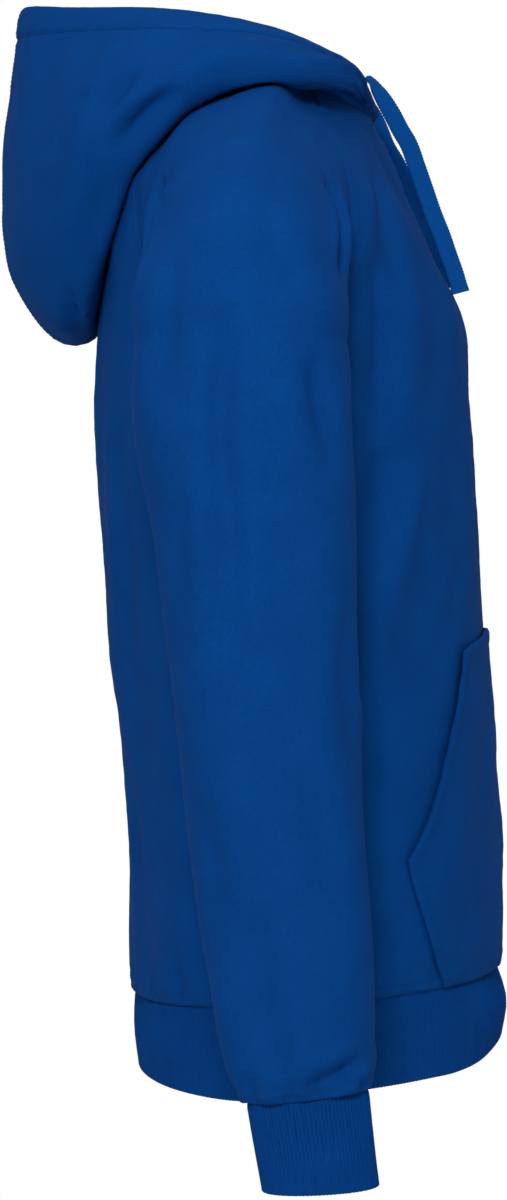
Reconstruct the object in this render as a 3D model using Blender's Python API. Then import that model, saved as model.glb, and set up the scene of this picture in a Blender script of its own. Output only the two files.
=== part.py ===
# Pullover hoodie in its worn shape with nobody in it: raglan sleeves, kangaroo pocket,
# 1x1 rib cuffs and hem band, two-piece hood lying open behind the neck, flat drawcord.
# Metres, +Z up, front towards -Y, the wearer's right towards -X.
# The origin is the point between the shoulders at which the wearer carries the garment.

import math

import bmesh
import bpy
import numpy as np
from mathutils import Vector
from mathutils.bvhtree import BVHTree

# Driving dimensions
WALL = 0.0022                 # brushed sweatshirt cloth
RIB_WALL = 0.0024             # rib knit of cuffs and hem band, without the ribs
TUNNEL_WALL = 0.0042          # folded hem of the hood with the drawcord inside
TUNNEL_WIDTH = 0.022
SEAM_GAP = 0.0003             # parting between two sewn pieces
RAGLAN_GAP = 0.0004           # the same, measured along X on the slanting raglan seam
NECK_GAP = 0.0006             # the same, measured along Z under the hood
HOOD_CLEARANCE = 0.005        # between the hood's fall and the shoulders and back under it
NECK_JOINTS = (0.44, 0.67)    # where the raglan seams meet the neckline, in hood stations
YOKE_HEIGHT = 0.20            # armpit to neckline, in the height scale of the tables
ARMPIT_Z = -0.200
HEM_RIBS = 400
CUFF_RIBS = 83
RIB_RISE = 0.0007
CUFF_DEPTH = 0.060
CORD_WIDTH = 0.013
CORD_THICKNESS = 0.0028
POCKET_LIFT = 0.0022          # how far the mouth of the pocket stands off the front
POCKET_TOP_DROP = 0.015       # how much lower the ends of its top edge are than the middle

# Grid densities of the solids
BODY_STATIONS = 12
YOKE_STATIONS = (0.1, 0.2, 0.3, 0.4, 0.5, 0.6, 0.7, 0.8, 0.87, 0.94, 1.0)
HALF_PANEL_COLUMNS = 8
SLEEVE_STATIONS = 14
SLEEVE_COLUMNS = 18
HOOD_COLUMNS = (5, 3, 6)      # along the front, sleeve and back part of the neckline
HOOD_ROWS = 15
POCKET_COLUMNS = 12
CURVE_STEPS = 48              # fine points along a curve before it is spaced evenly

CLOTH_BLUE = (0.0037, 0.0513, 0.2502, 1.0)
RIB_BLUE = (0.0033, 0.0437, 0.2122, 1.0)
CORD_BLUE = (0.0040, 0.0550, 0.2307, 1.0)


def table(columns, *rows):
    names = columns.split()
    return {name: np.array([row[i] for row in rows], float) for i, name in enumerate(names)}


# Body below the armpit: plane rings, lowest first. tilt is the rise in z per metre of y.
BODY_RINGS = table(
    "z       half_width side_y  front_y  back_y  tilt",
    (-0.6417, 0.1900, -0.030, -0.1645, 0.1003, -0.0713),
    (-0.6150, 0.1945, -0.028, -0.1652, 0.1012, -0.060),
    (-0.5600, 0.1990, -0.024, -0.1640, 0.1020, -0.045),
    (-0.4800, 0.2010, -0.017, -0.1600, 0.1082, -0.030),
    (-0.4000, 0.2005, -0.009, -0.1555, 0.1165, -0.015),
    (-0.3200, 0.1975, 0.000, -0.1523, 0.1231, 0.0),
    (-0.2550, 0.1915, 0.009, -0.1478, 0.1262, 0.0),
    (ARMPIT_Z, 0.1820, 0.016, -0.1445, 0.1265, 0.0),
)

# Front above the armpit: its centre line, the raglan seam, and the angle in plan at which
# a row meets the seam (arrive) and at which the sleeve leaves it (leave).
FRONT_YOKE = table(
    "up   mid_y    mid_z   seam_x  seam_y   seam_z  arrive leave",
    (0.00, -0.1445, -0.200, -0.1820, 0.0160, -0.200, 90, 90),
    (0.20, -0.1430, -0.178, -0.1795, -0.0160, -0.178, 80, 72),
    (0.35, -0.1375, -0.156, -0.1740, -0.0380, -0.150, 62, 35),
    (0.50, -0.1230, -0.130, -0.1650, -0.0510, -0.118, 46, 4),
    (0.65, -0.1115, -0.105, -0.1520, -0.0525, -0.082, 36, -16),
    (0.80, -0.1000, -0.080, -0.1320, -0.0445, -0.052, 34, -24),
    (0.90, -0.0895, -0.054, -0.1100, -0.0355, -0.030, 42, -32),
    (1.00, -0.0740, -0.021, -0.0830, -0.0260, -0.005, 70, -72),
)

BACK_YOKE = table(
    "up   mid_y   mid_z   seam_x  seam_y  seam_z  arrive leave",
    (0.00, 0.1265, -0.200, -0.1820, 0.0160, -0.200, 90, 90),
    (0.20, 0.1255, -0.175, -0.1800, 0.0420, -0.184, 76, 70),
    (0.35, 0.1235, -0.150, -0.1760, 0.0670, -0.163, 56, 38),
    (0.50, 0.1195, -0.120, -0.1670, 0.0840, -0.136, 38, 8),
    (0.65, 0.1130, -0.088, -0.1520, 0.0915, -0.106, 22, -9),
    (0.80, 0.1010, -0.055, -0.1300, 0.0895, -0.073, 14, -12),
    (0.90, 0.0830, -0.028, -0.1040, 0.0680, -0.038, 20, -18),
    (1.00, 0.0500, 0.005, -0.0700, 0.0230, 0.003, 45, -45),
)

# Sleeve above the armpit: its outer line over the shoulder, and how strongly the rows
# swell where they leave the seams (seam) and where they cross the outer line (crest).
SLEEVE_YOKE = table(
    "up   x        y        z      front_seam front_crest back_seam back_crest",
    (0.00, -0.3125, 0.0160, -0.2000, 0.087, 0.087, 0.0987, 0.0987),
    (0.20, -0.3090, 0.0175, -0.1720, 0.055, 0.082, 0.066, 0.100),
    (0.35, -0.3015, 0.0185, -0.1470, 0.048, 0.060, 0.056, 0.080),
    (0.50, -0.2900, 0.0185, -0.1180, 0.067, 0.040, 0.0656, 0.0437),
    (0.65, -0.2660, 0.0160, -0.0840, 0.069, 0.025, 0.066, 0.035),
    (0.80, -0.2220, 0.0100, -0.0490, 0.058, 0.014, 0.0549, 0.0349),
    (0.90, -0.1650, 0.0020, -0.0225, 0.038, 0.009, 0.0382, 0.0263),
    (1.00, -0.0850, -0.0135, -0.0030, 0.0042, 0.0042, 0.0136, 0.0138),
)

# Right sleeve below the armpit: rings, lowest first.
SLEEVE_RINGS = table(
    "z       inner_x  outer_x  front_y  back_y  tilt",
    (-0.6875, -0.2585, -0.3175, -0.0628, 0.0176, -0.115),
    (-0.6770, -0.2485, -0.3222, -0.0668, 0.0262, -0.110),
    (-0.6500, -0.2390, -0.3270, -0.0668, 0.0345, -0.080),
    (-0.6100, -0.2330, -0.3285, -0.0655, 0.0410, -0.040),
    (-0.5450, -0.2245, -0.3280, -0.0620, 0.0508, 0.0),
    (-0.4700, -0.2160, -0.3265, -0.0575, 0.0615, 0.0),
    (-0.3950, -0.2090, -0.3255, -0.0550, 0.0700, 0.0),
    (-0.3200, -0.2025, -0.3245, -0.0555, 0.0775, 0.0),
    (-0.2550, -0.1945, -0.3205, -0.0525, 0.0905, 0.0),
    (ARMPIT_Z, -0.1820, -0.3125, -0.0493, 0.0900, 0.0),
)

# Right half of the hood: one section for each station round the neckline, from the front
# (0) to the centre back (1). mid lies on the leg that runs down from the neck seam, fold is
# the lowest line, bulge the widest, rim the edge of the opening.
HOOD_LEG = table(
    "at   mid_x    mid_y    mid_z    fold_x   fold_y   fold_z",
    (0.00, -0.0012, -0.0762, -0.0190, -0.0020, -0.0785, -0.0165),
    (0.15, -0.0430, -0.0698, -0.0165, -0.0488, -0.0710, -0.0105),
    (0.30, -0.0840, -0.0550, -0.0105, -0.1000, -0.0560, -0.0118),
    (0.44, -0.1070, -0.0280, -0.0040, -0.1320, -0.0280, -0.0142),
    (0.55, -0.1150, 0.0020, -0.0045, -0.1480, 0.0060, -0.0155),
    (0.67, -0.1100, 0.0380, -0.0070, -0.1480, 0.0460, -0.0240),
    (0.80, -0.0900, 0.0700, -0.0180, -0.1370, 0.0950, -0.0640),
    (0.90, -0.0640, 0.1060, -0.0500, -0.1020, 0.1255, -0.1410),
    (0.95, -0.0340, 0.1160, -0.0750, -0.0630, 0.1395, -0.1730),
    (1.00, 0.0000, 0.1190, -0.0850, 0.0000, 0.1460, -0.1820),
)
HOOD_BAG = table(
    "at   bulge_x  bulge_y  bulge_z  rim_x    rim_y    rim_z    puff",
    (0.00, -0.0030, -0.0790, -0.0130, -0.0045, -0.0788, -0.0092, 0.06),
    (0.15, -0.0465, -0.0708, -0.0048, -0.0340, -0.0702, -0.0006, 0.06),
    (0.30, -0.1020, -0.0596, -0.0010, -0.0620, -0.0592, 0.0104, 0.06),
    (0.44, -0.1400, -0.0310, 0.0000, -0.0880, -0.0420, 0.0178, 0.06),
    (0.55, -0.1570, 0.0050, 0.0010, -0.1080, -0.0120, 0.0280, 0.06),
    (0.67, -0.1600, 0.0500, -0.0040, -0.1210, 0.0300, 0.0370, 0.06),
    (0.80, -0.1500, 0.1050, -0.0250, -0.1100, 0.0850, 0.0455, 0.06),
    (0.90, -0.1080, 0.1550, -0.0450, -0.0660, 0.1450, 0.0535, 0.05),
    (0.95, -0.0580, 0.1810, -0.0520, -0.0360, 0.1700, 0.0595, 0.03),
    (1.00, 0.0000, 0.1947, -0.0550, 0.0000, 0.1810, 0.0630, 0.012),
)

# Soft folds. at0, z0 to at1, z1 is the line of the fold: at is the distance round the piece in
# metres, from the centre front, the centre back or the sleeve's outer line (towards the front).
FRONT_FOLDS = table(
    "at0     z0      at1     z1      width  depth",
    (0.110, -0.089, 0.168, -0.163, 0.016, 0.003),
    (0.168, -0.163, 0.190, -0.253, 0.018, 0.005),
    (0.189, -0.264, 0.227, -0.357, 0.020, 0.008),
    (0.151, -0.265, 0.192, -0.342, 0.018, -0.004),
    (0.192, -0.342, 0.226, -0.416, 0.018, -0.004),
)
BACK_FOLDS = table(
    "at0     z0      at1     z1      width  depth",
    (0.170, -0.200, 0.205, -0.330, 0.022, 0.006),
    (0.1165, -0.244, 0.1045, -0.509, 0.022, 0.003),
    (0.185, -0.480, 0.200, -0.600, 0.022, 0.004),
)
SLEEVE_FOLDS = table(
    "at0      z0      at1      z1      width  depth",
    (0.095, -0.092, 0.098, -0.150, 0.012, 0.004),
    (-0.088, -0.090, -0.106, -0.168, 0.012, 0.005),
    (-0.012, -0.178, -0.019, -0.435, 0.016, 0.0035),
    (-0.0455, -0.164, -0.045, -0.230, 0.015, 0.0035),
    (-0.036, -0.280, -0.040, -0.435, 0.014, -0.003),
    (0.045, -0.210, 0.0685, -0.289, 0.016, 0.0035),
    (0.015, -0.671, -0.011, -0.681, 0.010, 0.003),
)

# Height of the hem band's lower edge from the front to the back, and how far its rings stand
# out from the hem seam: at the side, and what is added at the centre front and centre back.
HEM_BAND_EDGE = table(
    "y      z",
    (-0.175, -0.6770),
    (-0.167, -0.6787),
    (-0.155, -0.6842),
    (-0.145, -0.6892),
    (-0.127, -0.6933),
    (-0.109, -0.6946),
    (-0.075, -0.6977),
    (-0.025, -0.7030),
    (0.023, -0.7080),
    (0.056, -0.7076),
    (0.092, -0.7054),
    (0.100, -0.7045),
)
HEM_BAND_SWELL = (
    # down, side, at_front, at_back
    (1.00, -0.0010, 0.0060, -0.0027),
    (0.50, 0.0010, 0.0070, -0.0025),
    (0.00, 0.0000, 0.0006, -0.0015),
)

POCKET_OUTLINE = table(
    "z       reach",
    (-0.6320, 0.618),
    (-0.6050, 0.669),
    (-0.5750, 0.708),
    (-0.5424, 0.739),
    (-0.5229, 0.683),
    (-0.5035, 0.633),
    (-0.4750, 0.574),
    (-0.4450, 0.515),
    (-0.4150, 0.472),
    (-0.3900, 0.445),
)

# Centre line of the right drawcord, from the hood's tunnel to its cut end, and the turn of
# its flat face about that line.
CORD_ROUTE = table(
    "x       y        z        turn",
    (-0.0520, -0.0694, 0.0049, 18),
    (-0.0525, -0.0737, 0.0007, 27),
    (-0.0528, -0.0770, -0.0050, 48),
    (-0.0520, -0.0813, -0.0118, 66),
    (-0.0508, -0.0866, -0.0205, 78),
    (-0.0500, -0.0930, -0.0326, 82),
    (-0.0500, -0.0985, -0.0419, 82),
    (-0.0500, -0.1048, -0.0590, 82),
    (-0.0500, -0.1105, -0.0754, 82),
    (-0.0500, -0.1162, -0.0920, 82),
    (-0.0498, -0.1226, -0.1080, 80),
    (-0.0495, -0.1275, -0.1220, 78),
    (-0.0490, -0.1325, -0.1360, 76),
    (-0.0488, -0.1362, -0.1490, 75),
)
CORD_POINTS = 16

# The left drawcord is a little shorter and hangs closer to the chest: how far back it lies.
LEFT_CORD_SHARE = 0.925
LEFT_CORD_SET_BACK = table(
    "z       back",
    (-0.1500, 0.0006),
    (-0.1220, 0.0014),
    (-0.0920, 0.0018),
    (-0.0700, 0.0024),
    (-0.0540, 0.0036),
    (-0.0440, 0.0046),
    (-0.0326, 0.0050),
    (-0.0205, 0.0036),
    (-0.0118, 0.0016),
    (-0.0050, 0.0003),
    (0.0000, 0.0),
    (0.0100, 0.0),
)


def smooth(knots, values, at):
    """Cubic curve through the values of a table column, read at one or many places."""
    values = np.asarray(values, float)
    steps = np.diff(knots)
    rises = np.diff(values) / steps
    slopes = np.empty_like(values)
    slopes[1:-1] = (rises[:-1] * steps[1:] + rises[1:] * steps[:-1]) / (steps[1:] + steps[:-1])
    slopes[0] = rises[0]
    slopes[-1] = rises[-1]
    at = np.clip(at, knots[0], knots[-1])
    i = np.clip(np.searchsorted(knots, at, side="right") - 1, 0, len(steps) - 1)
    step = steps[i]
    t = (at - knots[i]) / step
    return (values[i] * (1 + 2 * t) * (1 - t) ** 2 + slopes[i] * step * t * (1 - t) ** 2
            + values[i + 1] * t * t * (3 - 2 * t) + slopes[i + 1] * step * t * t * (t - 1))


def unit(vectors):
    return vectors / np.linalg.norm(vectors, axis=-1, keepdims=True)


def bezier(start, start_handle, end_handle, end):
    t = np.linspace(0, 1, CURVE_STEPS)[:, None]
    return (start * (1 - t) ** 3 + 3 * start_handle * t * (1 - t) ** 2
            + 3 * end_handle * t * t * (1 - t) + end * t ** 3)


def lengths_along(points):
    return np.concatenate([[0], np.cumsum(np.linalg.norm(np.diff(points, axis=0), axis=1))])


def spaced(points, fractions):
    """Points at the given fractions of a curve's length."""
    along = lengths_along(points)
    places = np.asarray(fractions) * along[-1]
    return np.stack([np.interp(places, along, points[:, k]) for k in range(3)], axis=-1)


# Height scale of the tables: z above the armpit below it, 0 to YOKE_HEIGHT in the yoke

def panel_levels(yoke, middle):
    """One column set from the hem to the neckline for the front or the back."""
    rings = BODY_RINGS
    rise = rings["tilt"][:-1] * (rings[middle][:-1] - rings["side_y"][:-1])
    below = {
        "height": rings["z"][:-1] - ARMPIT_Z,
        "mid_y": rings[middle][:-1],
        "mid_z": rings["z"][:-1] + rise,
        "seam_x": -rings["half_width"][:-1],
        "seam_y": rings["side_y"][:-1],
        "seam_z": rings["z"][:-1],
        "arrive": np.full(len(rise), 90.0),
    }
    above = dict(yoke, height=yoke["up"] * YOKE_HEIGHT)
    return {name: np.concatenate([below[name], above[name]]) for name in below}


SEAM_COLUMNS = ("seam_x", "seam_y", "seam_z", "arrive", "front_x", "front_y", "front_z",
                "back_x", "back_y", "back_z", "front_leave", "back_leave")


def level_at(levels, height):
    """One row of the table at any height. The seams turn sharply at the armpit, so their
    columns are read from the part of the table below it or above it."""
    armpit = int(np.searchsorted(levels["height"], 0.0))
    level = {}
    for name in levels:
        if name == "height":
            continue
        part = slice(None)
        if name in SEAM_COLUMNS:
            part = slice(None, armpit + 1) if height <= 0 else slice(armpit, None)
        level[name] = float(smooth(levels["height"][part], levels[name][part], height))
    return level


def panel_half_row(levels, height, side):
    """Curve from the centre line to the right seam; side is -1 for the front, 1 for the back."""
    level = level_at(levels, height)
    angle = math.radians(level["arrive"])
    middle = np.array([0.0, level["mid_y"], 0.0])
    seam = np.array([level["seam_x"], level["seam_y"], 0.0])
    heading = np.array([-math.cos(angle), -side * math.sin(angle), 0.0])
    run = (seam[1] - middle[1]) / heading[1]
    corner = seam - run * heading
    fullness = 1.08 if angle > 1.0 else 1.0
    pull = fullness * 4 / 3 * math.tan(angle / 4) / math.tan(angle / 2)
    curve = bezier(middle, middle + pull * (corner - middle), seam + pull * (corner - seam), seam)
    part = (curve[:, 1] - middle[1]) / (seam[1] - middle[1])
    curve[:, 2] = level["mid_z"] + (level["seam_z"] - level["mid_z"]) * part
    return curve


def press_folds(points, normals, around, heights, folds, strength=1.0):
    """Moves points inward along each fold of the table, or outward where depth is negative."""
    depth = np.zeros(points.shape[:-1])
    for k in range(len(folds["depth"])):
        start = np.array([folds["at0"][k], folds["z0"][k]])
        end = np.array([folds["at1"][k], folds["z1"][k]])
        line = end - start
        place = np.stack([around, heights], axis=-1) - start
        t = np.clip((place @ line) / (line @ line), 0, 1)
        away = np.linalg.norm(place - t[..., None] * line, axis=-1)
        taper = 0.35 + 0.65 * np.sin(math.pi * t) ** 0.7
        depth += folds["depth"][k] * taper * np.exp(-(away / folds["width"][k]) ** 2)
    return points - strength * depth[..., None] * normals


def grid_normals(grid, closed_rows=0):
    """Outward unit normals: columns run so that column step x row step points outward."""
    across = np.gradient(grid, axis=1)
    if closed_rows:
        ring = grid[:closed_rows]
        across[:closed_rows, 0] = ring[:, 1] - ring[:, -2]
        across[:closed_rows, -1] = across[:closed_rows, 0]
    return unit(np.cross(across, np.gradient(grid, axis=0)))


def in_ring_plane(normals, slope):
    """Rim directions that stay in the plane z = slope * y + constant."""
    flat = np.array(normals)
    flat[..., 2] = 0
    flat = unit(flat)
    flat[..., 2] = slope * flat[..., 1]
    return unit(flat)


def mirrored(grid):
    return (grid * np.array([-1.0, 1.0, 1.0]))[:, ::-1]


FRONT_LEVELS = panel_levels(FRONT_YOKE, "front_y")
BACK_LEVELS = panel_levels(BACK_YOKE, "back_y")
BODY_HEIGHTS = np.concatenate([
    np.linspace(BODY_RINGS["z"][0] - ARMPIT_Z, 0, BODY_STATIONS + 1),
    np.array(YOKE_STATIONS) * YOKE_HEIGHT,
])
ARMPIT_ROW = BODY_STATIONS
HEM_TILT = BODY_RINGS["tilt"][0]


def neck_slope(yoke):
    return (yoke["seam_z"][-1] - yoke["mid_z"][-1]) / (yoke["seam_y"][-1] - yoke["mid_y"][-1])


FRONT_NECK_SLOPE = neck_slope(FRONT_YOKE)
BACK_NECK_SLOPE = neck_slope(BACK_YOKE)
SLEEVE_NECK_SLOPE = ((BACK_YOKE["seam_z"][-1] - FRONT_YOKE["seam_z"][-1])
                     / (BACK_YOKE["seam_y"][-1] - FRONT_YOKE["seam_y"][-1]))


def panel_grid(levels, heights, side, folds, half_columns):
    """Outer face of the front or back, columns in the order that faces outward."""
    fractions = np.linspace(0, 1, half_columns + 1)
    halves = []
    around = []
    for height in heights:
        curve = panel_half_row(levels, height, side)
        halves.append(spaced(curve, fractions))
        around.append(fractions * lengths_along(curve)[-1])
    half = np.array(halves)
    around = np.array(around)
    half = half[:, ::-1] if side < 0 else half
    around = around[:, ::-1] if side < 0 else around
    other = mirrored(half)
    if side < 0:
        grid = np.concatenate([half, other[:, 1:]], axis=1)
        around = np.concatenate([around, around[:, ::-1][:, 1:]], axis=1)
    else:
        grid = np.concatenate([other, half[:, 1:]], axis=1)
        around = np.concatenate([around[:, ::-1], around[:, 1:]], axis=1)
    normals = grid_normals(grid)
    pressed = press_folds(grid, normals, around, grid[..., 2], folds)
    pressed[:, 0] = grid[:, 0]
    pressed[:, -1] = grid[:, -1]
    pressed[0] = grid[0]
    pressed[-1] = grid[-1]
    return pressed


def sleeve_levels():
    rings = SLEEVE_RINGS
    yoke = SLEEVE_YOKE
    height = np.concatenate([rings["z"][:-1] - ARMPIT_Z, yoke["up"] * YOKE_HEIGHT])
    middle_y = (rings["front_y"] + rings["back_y"])[:-1] / 2
    swell = (rings["back_y"] - rings["front_y"])[:-1] / 2 / 0.75
    ring_z = rings["z"][:-1]
    right_angle = np.full(len(ring_z), 90.0)
    below = {
        "front_x": rings["inner_x"][:-1], "front_y": middle_y, "front_z": ring_z,
        "back_x": rings["inner_x"][:-1], "back_y": middle_y, "back_z": ring_z,
        "x": rings["outer_x"][:-1], "y": middle_y, "z": ring_z,
        "front_leave": right_angle, "back_leave": right_angle,
        "front_seam": swell, "front_crest": swell, "back_seam": swell, "back_crest": swell,
        "tilt": rings["tilt"][:-1],
    }
    above = {
        "front_x": FRONT_YOKE["seam_x"], "front_y": FRONT_YOKE["seam_y"],
        "front_z": FRONT_YOKE["seam_z"], "front_leave": FRONT_YOKE["leave"],
        "back_x": BACK_YOKE["seam_x"], "back_y": BACK_YOKE["seam_y"],
        "back_z": BACK_YOKE["seam_z"], "back_leave": BACK_YOKE["leave"],
        "x": yoke["x"], "y": yoke["y"], "z": yoke["z"],
        "front_seam": yoke["front_seam"], "front_crest": yoke["front_crest"],
        "back_seam": yoke["back_seam"], "back_crest": yoke["back_crest"],
        "tilt": np.zeros(len(yoke["up"])),
    }
    levels = {name: np.concatenate([below[name], above[name]]) for name in below}
    levels["height"] = height
    return levels


SLEEVE_LEVELS = sleeve_levels()


def sleeve_row(height):
    """Curve round the right sleeve from its back seam over the outer line to its front seam,
    and the length from the back seam to the outer line."""
    level = level_at(SLEEVE_LEVELS, height)
    crest = np.array([level["x"], level["y"], level["z"]])
    halves = []
    for part, side in (("back", 1), ("front", -1)):
        seam = np.array([level[part + "_x"], level[part + "_y"], level[part + "_z"]])
        angle = math.radians(level[part + "_leave"])
        heading = np.array([-math.cos(angle), side * math.sin(angle), 0.0])
        handle = seam + level[part + "_seam"] * heading
        handle[2] += 0.3 * (crest[2] - seam[2])
        crest_handle = crest + np.array([0, side * level[part + "_crest"], 0])
        halves.append(bezier(seam, handle, crest_handle, crest))
    curve = np.concatenate([halves[0], halves[1][::-1][1:]])
    if height >= YOKE_HEIGHT:
        curve[:, 2] = crest[2] + SLEEVE_NECK_SLOPE * (curve[:, 1] - crest[1])
    curve[:, 2] += level["tilt"] * (curve[:, 1] - crest[1])
    return curve, lengths_along(halves[0])[-1]


def sleeve_grid(heights, columns, closed_rows):
    fractions = np.linspace(0, 1, columns + 1)
    rows = []
    around = []
    for height in heights:
        curve, to_crest = sleeve_row(height)
        rows.append(spaced(curve, fractions))
        around.append(fractions * lengths_along(curve)[-1] - to_crest)
    grid = np.array(rows)
    normals = grid_normals(grid, closed_rows)
    pressed = press_folds(grid, normals, np.array(around), grid[..., 2], SLEEVE_FOLDS)
    pressed[:, 0] = grid[:, 0]
    pressed[:, -1] = grid[:, -1]
    pressed[0] = grid[0]
    pressed[-1] = grid[-1]
    return pressed


def neck_half_ring(fractions_by_part):
    """Points of the neckline from the centre front over the right side to the centre back."""
    front = panel_half_row(FRONT_LEVELS, YOKE_HEIGHT, -1)
    sleeve = sleeve_row(YOKE_HEIGHT)[0][::-1]
    back = panel_half_row(BACK_LEVELS, YOKE_HEIGHT, 1)[::-1]
    parts = [spaced(curve, fractions)
             for curve, fractions in zip((front, sleeve, back), fractions_by_part)]
    return np.concatenate([parts[0], parts[1][1:], parts[2][1:]])


def hood_grid(columns, rows, shoulders):
    """Outer face of the right half of the hood, columns from the centre back to the front."""
    fractions = [np.linspace(0, 1, count + 1) for count in columns]
    fractions[2] = np.sin(fractions[2] * math.pi / 2) ** 0.9    # closer towards the centre back
    neck = neck_half_ring(fractions)
    knots = (0.0,) + NECK_JOINTS + (1.0,)
    at = np.concatenate([
        knots[k] + (knots[k + 1] - knots[k]) * fractions[k][(1 if k else 0):] for k in range(3)
    ])
    # the sections run on past the centre back, mirrored, so that no crease forms there
    mirror_at = np.concatenate([HOOD_LEG["at"], 2 - HOOD_LEG["at"][-2::-1]])

    def control(sections, name, sign=1):
        values = sections[name]
        return smooth(mirror_at, np.concatenate([values, sign * values[-2::-1]]), at)

    def control_points(sections, name):
        return np.stack([control(sections, name + "_x", -1), control(sections, name + "_y"),
                         control(sections, name + "_z")], axis=-1)

    mid = control_points(HOOD_LEG, "mid")
    fold = control_points(HOOD_LEG, "fold")
    bulge = control_points(HOOD_BAG, "bulge")
    rim = control_points(HOOD_BAG, "rim")
    puff = control(HOOD_BAG, "puff")[:, None]
    start = neck + np.array([0, 0, NECK_GAP])
    outward = mid - start
    outward[:, 2] = 0
    rise = np.minimum(1, np.linalg.norm(outward, axis=1) / 0.03)[:, None]
    roll = start + rise * (0.010 * unit(outward) + np.array([0, 0, 0.008]))
    hanging = np.clip((mid[:, 2:] - fold[:, 2:]) / 0.08, 0, 1)
    heel = fold + (mid - fold) * (0.5 + hanging * np.array([0.2, 0.2, -0.44]))
    corner = fold + np.array([0.74, 0.74, 0.28]) * (bulge - fold)
    top = (bulge + rim) / 2 + rise * (puff * (bulge - mid) + np.array([0, 0, 0.003]))
    row_fractions = np.linspace(0, 1, rows + 1)
    sections = []
    for k in range(len(at)):
        through = np.array([start[k], roll[k], mid[k], heel[k], fold[k], corner[k], bulge[k],
                            top[k], rim[k]])
        steps = lengths_along(through)
        fine = np.linspace(0, steps[-1], 160)
        curve = np.stack([smooth(steps, through[:, axis], fine) for axis in range(3)], axis=-1)
        length = lengths_along(curve)[-1]
        tunnel_start = 1 - min(TUNNEL_WIDTH / length, 2.0 / rows)
        bent = np.where(row_fractions < 1 - 1.5 / rows,
                        row_fractions * tunnel_start / row_fractions[-2], row_fractions)
        sections.append(spaced(curve, bent))
    grid = np.array(sections).transpose(1, 0, 2)[:, ::-1]
    rest_on(grid, shoulders, HOOD_CLEARANCE)
    grid[..., 0] = np.minimum(grid[..., 0], -SEAM_GAP / 2)
    return grid


def surface_tree(grids):
    """Search tree over the faces of several grids of points."""
    points = []
    faces = []
    for grid in grids:
        rows, columns = grid.shape[:2]
        first = len(points)
        points.extend(Vector(point) for point in grid.reshape(-1, 3))
        for i in range(rows - 1):
            for j in range(columns - 1):
                a = first + i * columns + j
                faces.append((a, a + 1, a + columns + 1, a + columns))
    return BVHTree.FromPolygons(points, faces)


def rest_on(grid, surface, clearance):
    """Moves points out until they clear the surface; the first row is sewn on and stays."""
    from_seam = np.cumsum(np.linalg.norm(np.diff(grid, axis=0), axis=-1), axis=0)
    for i in range(1, len(grid)):
        for j in range(grid.shape[1]):
            for _ in range(2):
                spot, normal, _, _ = surface.find_nearest(Vector(grid[i, j]))
                height = (Vector(grid[i, j]) - spot).dot(normal)
                wanted = min(clearance, 0.4 * from_seam[i - 1, j])
                if height < wanted:
                    grid[i, j] += np.array(normal) * (wanted - height)


def clear_scene():
    for item in list(bpy.data.objects):
        bpy.data.objects.remove(item, do_unlink=True)


def cloth_material(name, colour, roughness):
    material = bpy.data.materials.new(name)
    material.use_nodes = True
    shader = material.node_tree.nodes["Principled BSDF"]
    shader.inputs["Base Color"].default_value = colour
    shader.inputs["Roughness"].default_value = roughness
    shader.inputs["Metallic"].default_value = 0.0
    material.diffuse_color = colour
    return material


def finish_object(name, mesh, colour, roughness):
    mesh.shade_smooth()
    mesh.set_sharp_from_angle(angle=math.radians(50))
    mesh.materials.append(cloth_material(name + "_cloth", colour, roughness))
    piece = bpy.data.objects.new(name, mesh)
    bpy.context.scene.collection.objects.link(piece)
    return piece


def add_faces(bm, outer, inner, flip_inner=True):
    rows = len(outer)
    for grid, inward in ((outer, False), (inner, flip_inner)):
        for i in range(rows - 1):
            for j in range(len(grid[i]) - 1):
                corners = [grid[i][j], grid[i][j + 1], grid[i + 1][j + 1], grid[i + 1][j]]
                if corners[0].co.x + corners[2].co.x > 0:
                    corners = corners[1:] + corners[:1]     # splits as the right side does
                bm.faces.new(corners[::-1] if inward else corners)


def cloth_piece(name, outer_points, normals, thickness=WALL, closed_rows=0,
                colour=CLOTH_BLUE, roughness=0.9):
    """A cloth wall: outer face, inner face one thickness inside, and rims all round.
    Rows below closed_rows are closed rings, the others are open at their two ends."""
    bm = bmesh.new()
    thickness = np.broadcast_to(np.asarray(thickness, float), outer_points.shape[:1])
    inner_points = outer_points - thickness[:, None, None] * normals

    def corner_grid(points):
        grid = [[bm.verts.new(p) for p in row[:-1]] for row in points]
        for i, row in enumerate(grid):
            row.append(row[0] if i < closed_rows else bm.verts.new(points[i][-1]))
        return grid

    outer = corner_grid(outer_points)
    inner = corner_grid(inner_points)
    add_faces(bm, outer, inner)
    last = len(outer) - 1
    for j in range(len(outer[0]) - 1):
        bm.faces.new([outer[0][j + 1], outer[0][j], inner[0][j], inner[0][j + 1]])
        bm.faces.new([outer[last][j], outer[last][j + 1], inner[last][j + 1], inner[last][j]])
    for i in range(max(closed_rows - 1, 0), last):
        bm.faces.new([outer[i][0], outer[i + 1][0], inner[i + 1][0], inner[i][0]])
        bm.faces.new([outer[i + 1][-1], outer[i][-1], inner[i][-1], inner[i + 1][-1]])
    mesh = bpy.data.meshes.new(name)
    bm.to_mesh(mesh)
    bm.free()
    return finish_object(name, mesh, colour, roughness)


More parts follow.
